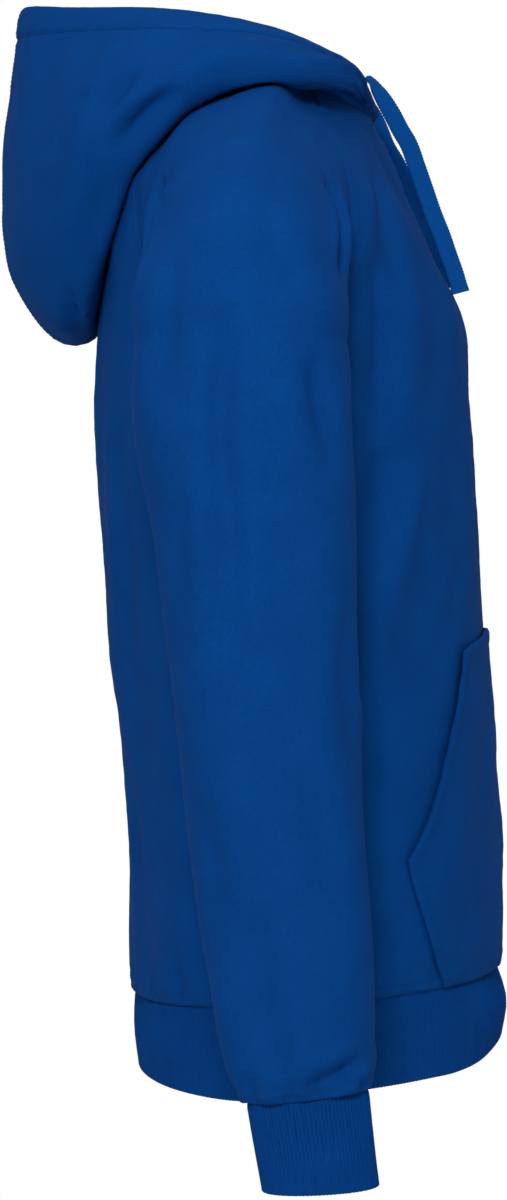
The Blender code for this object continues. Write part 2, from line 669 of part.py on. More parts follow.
def rib_tube(name, outer_rings, inner_rings, colour=RIB_BLUE):
    """A closed tube of rib knit. The outer rings have more points than the inner ones."""
    bm = bmesh.new()
    outer = [[bm.verts.new(p) for p in ring] for ring in outer_rings]
    inner = [[bm.verts.new(p) for p in ring] for ring in inner_rings]
    for ring in outer + inner:
        ring.append(ring[0])
    add_faces(bm, outer, inner)
    share = (len(outer[0]) - 1) // (len(inner[0]) - 1)
    for row, bottom in ((0, True), (-1, False)):
        for j in range(len(inner[0]) - 1):
            here = inner[row][j]
            there = inner[row][j + 1]
            for k in range(share):
                a = outer[row][j * share + k]
                b = outer[row][j * share + k + 1]
                hub = here if k < share / 2 else there
                bm.faces.new([b, a, hub] if bottom else [a, b, hub])
            middle = outer[row][j * share + math.ceil(share / 2)]
            bm.faces.new([middle, here, there] if bottom else [middle, there, here])
    mesh = bpy.data.meshes.new(name)
    bm.to_mesh(mesh)
    bm.free()
    return finish_object(name, mesh, colour, 0.85)


def ring_outward(ring):
    """Horizontal outward directions of a closed ring that runs clockwise seen from above
    or the other way; the ring's middle decides which side is out."""
    along = np.roll(ring, -1, axis=0) - np.roll(ring, 1, axis=0)
    across = unit(np.stack([along[:, 1], -along[:, 0], np.zeros(len(ring))], axis=-1))
    outward = ring - ring.mean(axis=0)
    sign = np.sign((across * outward).sum())
    return across * sign


def closed_spaced(ring, count):
    loop = np.concatenate([ring, ring[:1]])
    return spaced(loop, np.linspace(0, 1, count + 1))[:-1]


def build_body():
    """Front, back and both sleeves; their seams share stations and rim directions."""
    front = panel_grid(FRONT_LEVELS, BODY_HEIGHTS, -1, FRONT_FOLDS, HALF_PANEL_COLUMNS)
    back = panel_grid(BACK_LEVELS, BODY_HEIGHTS, 1, BACK_FOLDS, HALF_PANEL_COLUMNS)
    sleeve_heights = np.concatenate([
        np.linspace(SLEEVE_RINGS["z"][0] - ARMPIT_Z, 0, SLEEVE_STATIONS + 1),
        np.array(YOKE_STATIONS) * YOKE_HEIGHT,
    ])
    closed_rows = SLEEVE_STATIONS + 1
    sleeve = sleeve_grid(sleeve_heights, SLEEVE_COLUMNS, closed_rows)
    front_normals = grid_normals(front)
    back_normals = grid_normals(back)
    sleeve_normals = grid_normals(sleeve, closed_rows)

    # side seams below the armpit
    sides = unit(front_normals[:ARMPIT_ROW + 1, 0] + back_normals[:ARMPIT_ROW + 1, -1])
    front_normals[:ARMPIT_ROW + 1, 0] = sides
    back_normals[:ARMPIT_ROW + 1, -1] = sides
    # raglan seams: one rim direction where the cloth runs on, each its own in the crease
    for panel, panel_column, sleeve_column in ((front_normals, 0, -1), (back_normals, -1, 0)):
        for step in range(1, len(YOKE_STATIONS) + 1):
            own = panel[ARMPIT_ROW + step, panel_column]
            next_piece = sleeve_normals[SLEEVE_STATIONS + step, sleeve_column]
            if own @ next_piece > 0.2:
                shared = unit(own + next_piece)
                panel[ARMPIT_ROW + step, panel_column] = shared
                sleeve_normals[SLEEVE_STATIONS + step, sleeve_column] = shared
    # the other half mirrors the right one
    flip = np.array([-1.0, 1.0, 1.0])
    front_normals[:, -1] = front_normals[:, 0] * flip
    back_normals[:, 0] = back_normals[:, -1] * flip

    front_normals[0] = in_ring_plane(front_normals[0], HEM_TILT)
    back_normals[0] = in_ring_plane(back_normals[0], HEM_TILT)
    front_normals[-1] = in_ring_plane(front_normals[-1], FRONT_NECK_SLOPE)
    back_normals[-1] = in_ring_plane(back_normals[-1], BACK_NECK_SLOPE)
    sleeve_normals[0] = in_ring_plane(sleeve_normals[0], SLEEVE_RINGS["tilt"][0])
    sleeve_normals[-1] = in_ring_plane(sleeve_normals[-1], SLEEVE_NECK_SLOPE)

    hem_ring = np.concatenate([front[0, :-1], back[0, :-1]])
    cuff_ring = sleeve[0, :-1].copy()

    half_gap = SEAM_GAP / 2
    half_raglan = RAGLAN_GAP / 2
    for panel, toward in ((front, -1), (back, 1)):
        right = 0 if toward < 0 else -1
        left = -1 if toward < 0 else 0
        panel[:, right] += (half_raglan, toward * half_gap, 0)
        panel[:, left] += (-half_raglan, toward * half_gap, 0)
    sleeve[SLEEVE_STATIONS:, 0] -= (half_raglan, 0, 0)
    sleeve[SLEEVE_STATIONS:, -1] -= (half_raglan, 0, 0)

    cloth_piece("front", front, front_normals)
    cloth_piece("back", back, back_normals)
    cloth_piece("sleeve_right", sleeve, sleeve_normals, closed_rows=closed_rows)
    cloth_piece("sleeve_left", mirrored(sleeve), mirrored(sleeve_normals), closed_rows=closed_rows)
    return hem_ring, cuff_ring, surface_tree((front, back, sleeve))


def ribbed(ring, outward, ribs):
    """A ring with one raised point and one low point for each rib."""
    heights = np.where(np.arange(2 * ribs) % 2, RIB_RISE / 2, -RIB_RISE / 2)
    return ring + outward * heights[:, None]


def build_hem_band(hem_ring):
    outers = []
    inners = []
    for down, side, at_front, at_back in HEM_BAND_SWELL:
        for rings, count, inset in ((outers, 2 * HEM_RIBS, 0.0), (inners, HEM_RIBS // 5, RIB_WALL)):
            ring = closed_spaced(hem_ring, count)
            outward = ring_outward(ring)
            middle = hem_ring[0, 1]
            frontness = np.clip((middle - ring[:, 1]) / 0.135, 0, 1) ** 2
            backness = np.clip((ring[:, 1] - middle) / 0.13, 0, 1) ** 2
            swell = side + at_front * frontness + at_back * backness
            flatten_to_plane(ring, hem_ring, HEM_TILT)
            bottom = smooth(HEM_BAND_EDGE["y"], HEM_BAND_EDGE["z"], ring[:, 1])
            ring[:, 2] += down * (bottom - ring[:, 2])
            ring += outward * (swell - inset)[:, None]
            if not inset:
                ring = ribbed(ring, outward, HEM_RIBS)
            rings.append(ring)
    flatten_to_plane(outers[-1], hem_ring, HEM_TILT)
    flatten_to_plane(inners[-1], hem_ring, HEM_TILT)
    rib_tube("hem_band", outers, inners)


def flatten_to_plane(ring, seam_ring, slope):
    """Puts a band's top edge one seam gap under the plane of the seam above it."""
    ring[:, 2] = seam_ring[0, 2] + slope * (ring[:, 1] - seam_ring[0, 1]) - SEAM_GAP


def build_cuffs(cuff_ring):
    lean = np.array([-0.0005, -0.0085, 0.0])
    counts = (2 * CUFF_RIBS, CUFF_RIBS)
    outers = []
    inners = []
    slope = SLEEVE_RINGS["tilt"][0]
    for down in (1.0, 0.0):
        for rings, count, inset in ((outers, counts[0], 0.0), (inners, 2 * CUFF_RIBS // 2, RIB_WALL)):
            ring = closed_spaced(cuff_ring, count)
            outward = ring_outward(ring)
            narrow = -0.0016 * down
            ring = ring + outward * (narrow - inset - 0.0006)
            flatten_to_plane(ring, cuff_ring, slope)
            ring += down * (lean - np.array([0, 0, CUFF_DEPTH]))
            ring[:, 2] -= 0.55 * down * slope * (ring[:, 1] - ring[:, 1].mean())
            if not inset:
                ring = ribbed(ring, outward, CUFF_RIBS)
            rings.append(ring)
    rib_tube("cuff_right", outers, inners)
    flip = np.array([-1.0, 1.0, 1.0])
    rib_tube("cuff_left", [(ring * flip)[::-1] for ring in outers],
             [(ring * flip)[::-1] for ring in inners])


def build_hood(shoulders):
    right = hood_grid(HOOD_COLUMNS, HOOD_ROWS, shoulders)
    normals = grid_normals(right)
    normals[:, 0, 0] = 0
    normals[:, -1, 0] = 0
    normals = unit(normals)
    back_count = HOOD_COLUMNS[2]
    sleeve_count = HOOD_COLUMNS[1]
    slopes = np.full(right.shape[1], FRONT_NECK_SLOPE)
    slopes[:back_count] = BACK_NECK_SLOPE
    slopes[back_count:back_count + sleeve_count + 1] = SLEEVE_NECK_SLOPE
    slopes[back_count] = (BACK_NECK_SLOPE + SLEEVE_NECK_SLOPE) / 2
    slopes[back_count + sleeve_count] = (FRONT_NECK_SLOPE + SLEEVE_NECK_SLOPE) / 2
    normals[0] = in_ring_plane(normals[0], slopes)
    walls = np.full(HOOD_ROWS + 1, WALL)
    walls[-2:] = TUNNEL_WALL
    cloth_piece("hood_right", right, normals, walls)
    cloth_piece("hood_left", mirrored(right), mirrored(normals), walls)


def build_pocket():
    """Lies on the front: its points are the front's own, moved out along the front's normals."""
    rows = POCKET_OUTLINE["z"]
    across = np.linspace(-1, 1, POCKET_COLUMNS + 1)
    points = []
    for z, reach in zip(rows, POCKET_OUTLINE["reach"]):
        # the upper rows bend down towards the sides, as the top edge does
        bend = POCKET_TOP_DROP * np.clip((z + 0.48) / (rows[-1] + 0.48), 0, 1) ** 2
        row = []
        for share in across:
            height = z - bend * share ** 2 - ARMPIT_Z
            curve = panel_half_row(FRONT_LEVELS, height + z_offset_of_centre(height), -1)
            spot = spaced(curve, [reach * abs(share)])[0]
            row.append(spot * (-np.sign(share) if share else 1, 1, 1))
        points.append(row)
    front = np.array(points)
    normals = grid_normals(front)
    lift = POCKET_LIFT * np.clip((np.abs(across) - 0.75) / 0.25, 0, 1) ** 2
    side_only = np.clip((rows - rows[0]) / 0.05, 0, 1) * np.clip((rows[-1] - rows) / 0.03, 0, 1)
    stand_off = SEAM_GAP + 0.0009 + lift[None, :] * side_only[:, None]
    outer = front + (stand_off + WALL)[..., None] * normals
    cloth_piece("pocket", outer, normals)


def z_offset_of_centre(height):
    """Height to ask for so that the centre line lies at the wanted z, where rings are tilted."""
    level = level_at(FRONT_LEVELS, height)
    return height - (level["mid_z"] - ARMPIT_Z)


def build_cord(name, side, share):
    route = CORD_ROUTE
    through = np.stack([side * -route["x"], route["y"], route["z"]], axis=-1)
    if side > 0:
        through[:, 1] += smooth(LEFT_CORD_SET_BACK["z"], LEFT_CORD_SET_BACK["back"], through[:, 2])
    along = lengths_along(through)
    places = np.linspace(0, share * along[-1], CORD_POINTS)
    curve = bpy.data.curves.new(name, "CURVE")
    curve.dimensions = "3D"
    curve.twist_mode = "Z_UP"
    curve.extrude = (CORD_WIDTH - CORD_THICKNESS) / 2
    curve.bevel_depth = CORD_THICKNESS / 2
    curve.bevel_resolution = 2
    curve.use_fill_caps = True
    spline = curve.splines.new("POLY")
    spline.points.add(CORD_POINTS - 1)
    for k, place in enumerate(places):
        spot = [float(smooth(along, through[:, axis], place)) for axis in range(3)]
        spline.points[k].co = (*spot, 1.0)
        turn = float(smooth(along, route["turn"], place))
        spline.points[k].tilt = side * math.radians(90 - turn)
    curve.materials.append(cloth_material(name + "_braid", CORD_BLUE, 0.8))
    cord = bpy.data.objects.new(name, curve)
    bpy.context.scene.collection.objects.link(cord)


clear_scene()
hem_seam, cuff_seam, body_surface = build_body()
build_hem_band(hem_seam)
build_cuffs(cuff_seam)
build_hood(body_surface)
build_pocket()
build_cord("drawcord_right", -1, 1.0)
build_cord("drawcord_left", 1, LEFT_CORD_SHARE)
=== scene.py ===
import math

import bmesh
import bpy
import numpy as np
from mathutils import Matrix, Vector
from mathutils.bvhtree import BVHTree


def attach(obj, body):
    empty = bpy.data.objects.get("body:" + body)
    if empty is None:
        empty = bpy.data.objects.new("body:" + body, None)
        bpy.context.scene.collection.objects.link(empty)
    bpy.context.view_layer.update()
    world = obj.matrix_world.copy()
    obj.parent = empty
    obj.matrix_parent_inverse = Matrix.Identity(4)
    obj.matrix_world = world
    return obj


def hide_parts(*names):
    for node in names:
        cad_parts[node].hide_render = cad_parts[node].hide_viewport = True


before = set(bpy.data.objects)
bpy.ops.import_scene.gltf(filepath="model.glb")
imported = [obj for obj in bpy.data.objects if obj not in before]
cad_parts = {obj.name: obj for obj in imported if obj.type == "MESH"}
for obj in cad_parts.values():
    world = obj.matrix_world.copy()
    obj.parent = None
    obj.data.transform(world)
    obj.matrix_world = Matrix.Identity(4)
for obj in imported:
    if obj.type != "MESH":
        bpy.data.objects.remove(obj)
bpy.ops.object.select_all(action="DESELECT")
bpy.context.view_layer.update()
print("frame loaded with", len(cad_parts), "nodes")

# Camera: level, at the wearer's right side
cameraSettings = {"place": (-2.4, 0.0121, -0.369), "turn": (90, 0, -90), "lens": 98.5}
bpy.ops.object.camera_add(location=cameraSettings["place"],
                          rotation=[math.radians(a) for a in cameraSettings["turn"]])
viewCamera = bpy.context.object
viewCamera.name = "sideCamera"
viewCamera.data.lens = cameraSettings["lens"]
viewCamera.data.sensor_width = 36
viewCamera.data.sensor_fit = "AUTO"
bpy.context.scene.camera = viewCamera
bpy.context.scene.view_settings.view_transform = "Standard"     # deep blue stays saturated


# Small helpers for curves and grids of points

def table(columns, *rows):
    names = columns.split()
    return {name: np.array([row[i] for row in rows], float) for i, name in enumerate(names)}


def smoothCurve(knots, values, at):
    # cubic curve through the values, read at one or many places
    values = np.asarray(values, float)
    steps = np.diff(knots)
    rises = np.diff(values) / steps
    slopes = np.empty_like(values)
    slopes[1:-1] = (rises[:-1] * steps[1:] + rises[1:] * steps[:-1]) / (steps[1:] + steps[:-1])
    slopes[0] = rises[0]
    slopes[-1] = rises[-1]
    at = np.clip(at, knots[0], knots[-1])
    i = np.clip(np.searchsorted(knots, at, side="right") - 1, 0, len(steps) - 1)
    step = steps[i]
    t = (at - knots[i]) / step
    return (values[i] * (1 + 2 * t) * (1 - t) ** 2 + slopes[i] * step * t * (1 - t) ** 2
            + values[i + 1] * t * t * (3 - 2 * t) + slopes[i + 1] * step * t * t * (t - 1))


def unit(vectors):
    return vectors / np.maximum(np.linalg.norm(vectors, axis=-1, keepdims=True), 1e-12)


def bezier(start, startHandle, endHandle, end, count=160):
    t = np.linspace(0, 1, count)[:, None]
    return (start * (1 - t) ** 3 + 3 * startHandle * t * (1 - t) ** 2
            + 3 * endHandle * t * t * (1 - t) + end * t ** 3)


def lengthsAlong(points):
    return np.concatenate([[0], np.cumsum(np.linalg.norm(np.diff(points[:, :3], axis=0), axis=1))])


def spaced(points, fractions):
    along = lengthsAlong(points)
    places = np.asarray(fractions) * along[-1]
    return np.stack([np.interp(places, along, points[:, k]) for k in range(points.shape[1])], -1)


def smoothLine(through, count):
    steps = lengthsAlong(through)
    places = np.linspace(0, steps[-1], count)
    return np.stack([smoothCurve(steps, column, places) for column in through.T], -1)


def fade(distance, reach):
    # 0 at the edge, 1 beyond reach, without a corner
    t = np.clip(distance / reach, 0, 1)
    return t * t * (3 - 2 * t)


def gridNormals(grid, closedRows=0):
    across = np.gradient(grid, axis=1)
    if closedRows:
        ring = grid[:closedRows]
        across[:closedRows, 0] = ring[:, 1] - ring[:, -2]
        across[:closedRows, -1] = across[:closedRows, 0]
    return unit(np.cross(across, np.gradient(grid, axis=0)))


def mirrored(grid):
    return (grid * np.array([-1.0, 1.0, 1.0]))[:, ::-1]


def fromEdge(grid, axis, fromEnd=False):
    # distance of every point from one edge of the grid, measured along the cloth
    steps = np.linalg.norm(np.diff(grid, axis=axis), axis=-1)
    if fromEnd:
        steps = np.flip(steps, axis)
    total = np.cumsum(steps, axis)
    start = np.zeros_like(np.take(total, [0], axis))
    total = np.concatenate([start, total], axis)
    return np.flip(total, axis) if fromEnd else total


def fromNearer(grid, axis):
    return np.minimum(fromEdge(grid, axis), fromEdge(grid, axis, True))


def clothUv(at, grid):
    # metres round the piece and metres up it
    return np.stack([at, fromEdge(grid, 0)], -1)


def sided(name, side):
    # a piece's name on that side, and the node that it replaces
    end = ("Right", "_right") if side < 0 else ("Left", "_left")
    return name + end[0], [name + end[1]]


def gridQuads(rows, columns, wrapRows=False, wrapColumns=False):
    i, j = np.meshgrid(np.arange(rows if wrapRows else rows - 1),
                       np.arange(columns if wrapColumns else columns - 1), indexing="ij")
    nextI, nextJ = (i + 1) % rows, (j + 1) % columns
    return np.stack([i * columns + j, i * columns + nextJ, nextI * columns + nextJ,
                     nextI * columns + j], -1).reshape(-1, 4)


def inRingPlane(normals, slope):
    flat = np.array(normals)
    flat[..., 2] = 0
    flat = unit(flat)
    flat[..., 2] = slope * flat[..., 1]
    return unit(flat)


# Materials

def linearColour(hexValue):
    # sRGB hex to the linear colour that the shader wants
    parts = [int(hexValue[i:i + 2], 16) / 255 for i in (1, 3, 5)]
    return tuple(c / 12.92 if c <= 0.04045 else ((c + 0.055) / 1.055) ** 2.4 for c in parts) + (1,)


def addNode(tree, kind, inputs=None, **settings):
    node = tree.nodes.new(kind)
    for name, value in settings.items():
        setattr(node, name, value)
    for socket, value in (inputs or {}).items():
        if isinstance(value, bpy.types.NodeSocket):
            tree.links.new(value, node.inputs[socket])
        else:
            node.inputs[socket].default_value = value
    return node


def newMaterial(name, shaderValues):
    material = bpy.data.materials.new(name)
    material.use_nodes = True
    tree = material.node_tree
    shader = tree.nodes["Principled BSDF"]
    for socket, value in shaderValues.items():
        shader.inputs[socket].default_value = value
    return material, tree, shader


def shadeWith(tree, shader, tone, toneSpan, colours, height, bumpDepth):
    # tone between two near colours, and the height of loops and fibres as bump
    share = addNode(tree, "ShaderNodeMapRange", {
        "Value": tone, "From Min": toneSpan[0], "From Max": toneSpan[1]}).outputs["Result"]
    dark, light = (linearColour(c) for c in colours)
    colour = addNode(tree, "ShaderNodeMix", {0: share, 6: dark, 7: light},
                     data_type="RGBA").outputs[2]
    bump = addNode(tree, "ShaderNodeBump", {
        "Height": height, "Distance": bumpDepth, "Strength": 1.0}).outputs["Normal"]
    tree.links.new(colour, shader.inputs["Base Color"])
    tree.links.new(bump, shader.inputs["Normal"])


knitSettings = {
    "dark": "#052F64", "light": "#06356E",
    "wale": 0.0016,        # real wales are 0.7 mm apart; drawn coarser so that they show
    "course": 0.0013,
    "nap": 0.0011,         # tufts of raised fibre
    "mottle": 0.035,       # soft unevenness of the dye
    "loopShare": 0.16,     # height of the loops beside the nap's
    "lean": 1.1,           # how far the courses lean between the wales
    "tuft": 2.4,           # size of the grain of the colour, in tufts
}


def knitMaterial(name, settings, bumpDepth, sheen, napShare):
    # cotton-rich sweatshirt knit, brushed: matt, with fine wales under a short nap
    material, tree, shader = newMaterial(name, {
        "Roughness": 0.9, "Specular IOR Level": 0.03, "Specular Tint": linearColour("#1058C0"),
        "Sheen Weight": sheen, "Sheen Roughness": 0.55, "Sheen Tint": linearColour("#0A50B8"),
    })
    uv = addNode(tree, "ShaderNodeUVMap", uv_map="clothMetres").outputs["UV"]
    place = addNode(tree, "ShaderNodeTexCoord").outputs["Object"]
    parts = addNode(tree, "ShaderNodeSeparateXYZ", {"Vector": uv}).outputs
    waleTurn = addNode(tree, "ShaderNodeMath", {0: parts["X"], 1: 2 * math.pi / settings["wale"]},
                       operation="MULTIPLY").outputs[0]
    waleWave = addNode(tree, "ShaderNodeMath", {0: waleTurn}, operation="COSINE").outputs[0]
    lean = addNode(tree, "ShaderNodeMath", {0: waleWave, 1: settings["lean"]},
                   operation="MULTIPLY").outputs[0]
    courseTurn = addNode(tree, "ShaderNodeMath", {
        0: parts["Y"], 1: 2 * math.pi / settings["course"], 2: lean},
        operation="MULTIPLY_ADD").outputs[0]
    courseWave = addNode(tree, "ShaderNodeMath", {0: courseTurn}, operation="SINE").outputs[0]
    loops = addNode(tree, "ShaderNodeMath", {0: waleWave, 1: courseWave},
                    operation="ADD").outputs[0]
    nap = addNode(tree, "ShaderNodeTexNoise", {
        "Vector": place, "Scale": 1 / settings["nap"], "Detail": 3.0,
        "Roughness": 0.65}).outputs["Fac"]
    napHeight = addNode(tree, "ShaderNodeMath", {0: nap, 1: napShare},
                        operation="MULTIPLY").outputs[0]
    height = addNode(tree, "ShaderNodeMath", {0: loops, 1: settings["loopShare"], 2: napHeight},
                     operation="MULTIPLY_ADD").outputs[0]
    mottle = addNode(tree, "ShaderNodeTexNoise", {
        "Vector": place, "Scale": 1 / settings["mottle"], "Detail": 2.0}).outputs["Fac"]
    grain = addNode(tree, "ShaderNodeTexNoise", {
        "Vector": place, "Scale": 1 / (settings["tuft"] * settings["nap"]),
        "Detail": 2.0}).outputs["Fac"]
    tone = addNode(tree, "ShaderNodeMath", {0: mottle, 1: grain}, operation="ADD").outputs[0]
    shadeWith(tree, shader, tone, (0.6, 1.4), (settings["dark"], settings["light"]), height,
              bumpDepth)
    return material


ribSettings = dict(knitSettings, dark="#052D62", light="#06336C", wale=0.0012, course=0.0014)
insideSettings = dict(knitSettings, dark="#052C60", light="#06356C", nap=0.0022)
clothFace = knitMaterial("brushed sweatshirt knit", knitSettings, 0.00018, 0.05, 1.0)
clothInside = knitMaterial("raised fleece inside", insideSettings, 0.0006, 0.10, 1.6)
ribFace = knitMaterial("one by one rib knit", ribSettings, 0.00016, 0.05, 0.8)


def threadMaterial(name, dark, light, pitch, roughness):
    # spun yarn, twisted: a little smoother than the cloth, so it catches a soft line of light
    material, tree, shader = newMaterial(name, {
        "Roughness": roughness, "Specular IOR Level": 0.08,
        "Specular Tint": linearColour("#1058C0")})
    place = addNode(tree, "ShaderNodeTexCoord").outputs["Object"]
    fibre = addNode(tree, "ShaderNodeTexNoise", {
        "Vector": place, "Scale": 1 / pitch, "Detail": 3.0, "Roughness": 0.6}).outputs["Fac"]
    shadeWith(tree, shader, fibre, (0.3, 0.7), (dark, light), fibre, 0.00012)
    return material


sewingThread = threadMaterial("spun polyester sewing thread", "#052F64", "#07386F", 0.0006, 0.62)
braidYarn = threadMaterial("flat braided cotton yarn", "#05346C", "#083E7C", 0.0009, 0.75)


# Making meshes

def finishPiece(name, mesh, materials, replaced=()):
    for material in materials:
        mesh.materials.append(material)
    piece = bpy.data.objects.new(name, mesh)
    bpy.context.scene.collection.objects.link(piece)
    bpy.ops.object.select_all(action="DESELECT")
    piece.select_set(True)
    bpy.context.view_layer.objects.active = piece
    bpy.ops.object.shade_smooth_by_angle(angle=math.radians(60))
    piece.select_set(False)
    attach(piece, "root")
    for node in replaced:
        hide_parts(node)
    print("made", name, "with", len(mesh.polygons), "faces")
    return piece


def cleaned(mesh, merged=False, turned=False):
    bm = bmesh.new()
    bm.from_mesh(mesh)
    if merged:
        bmesh.ops.remove_doubles(bm, verts=bm.verts, dist=1e-6)
    if turned:
        bmesh.ops.recalc_face_normals(bm, faces=bm.faces)
    bm.to_mesh(mesh)
    bm.free()


def roundedRim(fromRow, toRow, beyond, steps, bulge=1.0):
    # rows of a half-round edge from one face of the cloth to the other
    middle = (fromRow + toRow) / 2
    half = (fromRow - toRow) / 2
    reach = np.linalg.norm(half, axis=-1, keepdims=True) * bulge
    angles = [math.pi * k / steps for k in range(1, steps)]
    return [middle + math.cos(a) * half + math.sin(a) * reach * beyond for a in angles]


def clothShell(name, outer, inner, uv, materials, replaced,
               topRim=(), lowRim=(), closedRows=0, wrapped=False):
    # outer and inner faces of a piece of cloth, joined all round by its edges
    rows, columns = outer.shape[:2]
    loop = np.concatenate([outer, *[r[None] for r in topRim], inner[::-1],
                           *[r[None] for r in lowRim]])
    topCount = len(topRim)
    lowCount = len(lowRim)
    loopUv = np.concatenate([uv, *[uv[-1:]] * topCount, uv[::-1], *[uv[:1]] * lowCount])
    total = len(loop)
    faces = gridQuads(total, columns, True, wrapped).tolist()
    rowOf = np.repeat(np.arange(total), len(faces) // total)
    firstInner = rows + topCount
    lastInner = firstInner + rows - 1
    inside = ((rowOf >= firstInner) & (rowOf < lastInner)).astype(int).tolist()
    if not wrapped:
        # the two cut sides, strip by strip, and the ends of the rims
        strips = [[k, k + 1, lastInner - k - 1, lastInner - k]
                  for k in range(max(closedRows - 1, 0), rows - 1)]
        if topCount:
            strips.append(list(range(rows - 1, firstInner + 1)))
        if lowCount and not closedRows:
            strips.append(list(range(lastInner, total)) + [0])
        for strip in strips:
            faces.append([c * columns for c in strip])
            faces.append([c * columns + columns - 1 for c in strip[::-1]])
            inside += [0, 0]
    mesh = bpy.data.meshes.new(name)
    mesh.from_pydata(loop.reshape(-1, 3).tolist(), [], faces)
    layer = mesh.uv_layers.new(name="clothMetres")
    corners = np.zeros(len(mesh.loops), int)
    mesh.loops.foreach_get("vertex_index", corners)
    layer.data.foreach_set("uv", loopUv.reshape(-1, 2)[corners].astype(np.float32).reshape(-1))
    mesh.polygons.foreach_set("material_index", inside)
    if closedRows:
        cleaned(mesh, merged=True)
    return finishPiece(name, mesh, materials, replaced)


def sheetArea(grid):
    # area of the outer face, for the cut of the cloth
    a = np.linalg.norm(np.cross(grid[1:, 1:] - grid[:-1, :-1], grid[1:, :-1] - grid[:-1, 1:]),
                       axis=-1)
    return float(a.sum() / 2)


# Cords

cordSettings = {
    "width": 0.013, "thickness": 0.0028, "strand": 0.0022, "relief": 0.00050,
    "rings": 430, "faceSteps": 30, "edgeSteps": 5, "seal": 0.007, "flare": 0.07, "flattened": 0.22,
    "sealedRelief": 0.25, "leftShare": 0.925,
}
cordRoute = table(
    "x       y        z        turn",
    (-0.0520, -0.0694, 0.0049, 18),
    (-0.0525, -0.0737, 0.0007, 27),
    (-0.0528, -0.0770, -0.0050, 48),
    (-0.0520, -0.0813, -0.0118, 66),
    (-0.0508, -0.0866, -0.0205, 78),
    (-0.0500, -0.0930, -0.0326, 82),
    (-0.0500, -0.0985, -0.0419, 82),
    (-0.0500, -0.1048, -0.0590, 82),
    (-0.0500, -0.1105, -0.0754, 82),
    (-0.0500, -0.1162, -0.0920, 82),
    (-0.0498, -0.1226, -0.1080, 80),
    (-0.0495, -0.1275, -0.1220, 78),
    (-0.0490, -0.1325, -0.1360, 76),
    (-0.0488, -0.1362, -0.1490, 75),
)
# the left cord is a little shorter and hangs closer to the chest
leftCordSetBack = table(
    "z       back",
    (-0.1500, 0.0006), (-0.1220, 0.0014), (-0.0920, 0.0018), (-0.0700, 0.0024),
    (-0.0540, 0.0036), (-0.0440, 0.0046), (-0.0326, 0.0050), (-0.0205, 0.0036),
    (-0.0118, 0.0016), (-0.0050, 0.0003), (0.0000, 0.0), (0.0100, 0.0),
)


def braidRelief(across, along, strand):
    # two families of strands that pass over and under each other on the slant
    a = (across + along) / strand
    b = (across - along) / strand
    over = (np.floor(a) + np.floor(b)) % 2 < 1
    fa = np.sin(math.pi * (a - np.floor(a)))
    fb = np.sin(math.pi * (b - np.floor(b)))
    return np.where(over, fb ** 0.6 * (0.55 + 0.45 * fa), fa ** 0.6 * (0.55 + 0.45 * fb)) - 0.6


def makeCord(side):
    settings = cordSettings
    name, replaced = sided("drawcord", side)
    through = np.stack([side * -cordRoute["x"], cordRoute["y"], cordRoute["z"]], -1)
    if side > 0:
        through[:, 1] += smoothCurve(leftCordSetBack["z"], leftCordSetBack["back"], through[:, 2])
    knots = lengthsAlong(through)
    length = knots[-1] * (settings["leftShare"] if side > 0 else 1.0)
    places = np.linspace(0, length, settings["rings"])
    centre = np.stack([smoothCurve(knots, through[:, k], places) for k in range(3)], -1)
    turn = np.radians(smoothCurve(knots, cordRoute["turn"], places))[:, None]
    tangent = unit(np.gradient(centre, axis=0))
    sideways = np.zeros_like(centre)
    sideways[:, 0] = side
    sideways = unit(sideways - (sideways * tangent).sum(1, keepdims=True) * tangent)
    outward = unit(np.cross(tangent, sideways) * side)
    outward *= np.where(outward[:, 1:2] < 0, 1, -1)
    face = unit(np.sin(turn) * sideways + np.cos(turn) * outward)
    wide = unit(np.cross(face, tangent))
    # section: two flat faces and two round edges, as (across, outwards)
    half = settings["width"] / 2
    radius = settings["thickness"] / 2
    flat = half - radius
    faceLine = np.linspace(-flat, flat, settings["faceSteps"])
    edge = [math.pi * k / (settings["edgeSteps"] + 1) for k in range(1, settings["edgeSteps"] + 1)]
    section = ([(x, radius) for x in faceLine]
               + [(flat + radius * math.sin(a), radius * math.cos(a)) for a in edge]
               + [(x, -radius) for x in faceLine[::-1]]
               + [(-flat - radius * math.sin(a), -radius * math.cos(a)) for a in edge])
    section = np.array(section)
    outDirection = unit(np.array([(max(abs(x) - flat, 0) * np.sign(x), y) for x, y in section]))
    across = section[:, 0] * np.where(section[:, 1] >= 0, 1, -1)
    relief = braidRelief(across[None, :], places[:, None], settings["strand"]) * settings["relief"]
    # the end is stitched across: flatter, and spread a little
    sealed = fade(length - places, settings["seal"])[:, None]
    kept = settings["sealedRelief"]
    relief = relief * (kept + (1 - kept) * sealed)
    spread = np.stack([1 + settings["flare"] * (1 - sealed),
                       1 - settings["flattened"] * (1 - sealed)], -1)
    offset = section[None] * spread + relief[..., None] * outDirection[None]
    rings = (centre[:, None] + offset[..., :1] * wide[:, None] + offset[..., 1:] * face[:, None])
    count = len(section)
    total = len(rings)
    quads = np.roll(gridQuads(total, count, False, True)[:, ::-1], 1, axis=1).tolist()
    quads.append(list(range(count)))
    quads.append(list(range(total * count - 1, (total - 1) * count - 1, -1)))
    mesh = bpy.data.meshes.new(name)
    mesh.from_pydata(rings.reshape(-1, 3).tolist(), [], quads)
    cleaned(mesh, turned=True)
    piece = finishPiece(name, mesh, [braidYarn], replaced)


print("cords")
makeCord(-1)
makeCord(1)


# The body's form: the same rings and seam lines as the solids

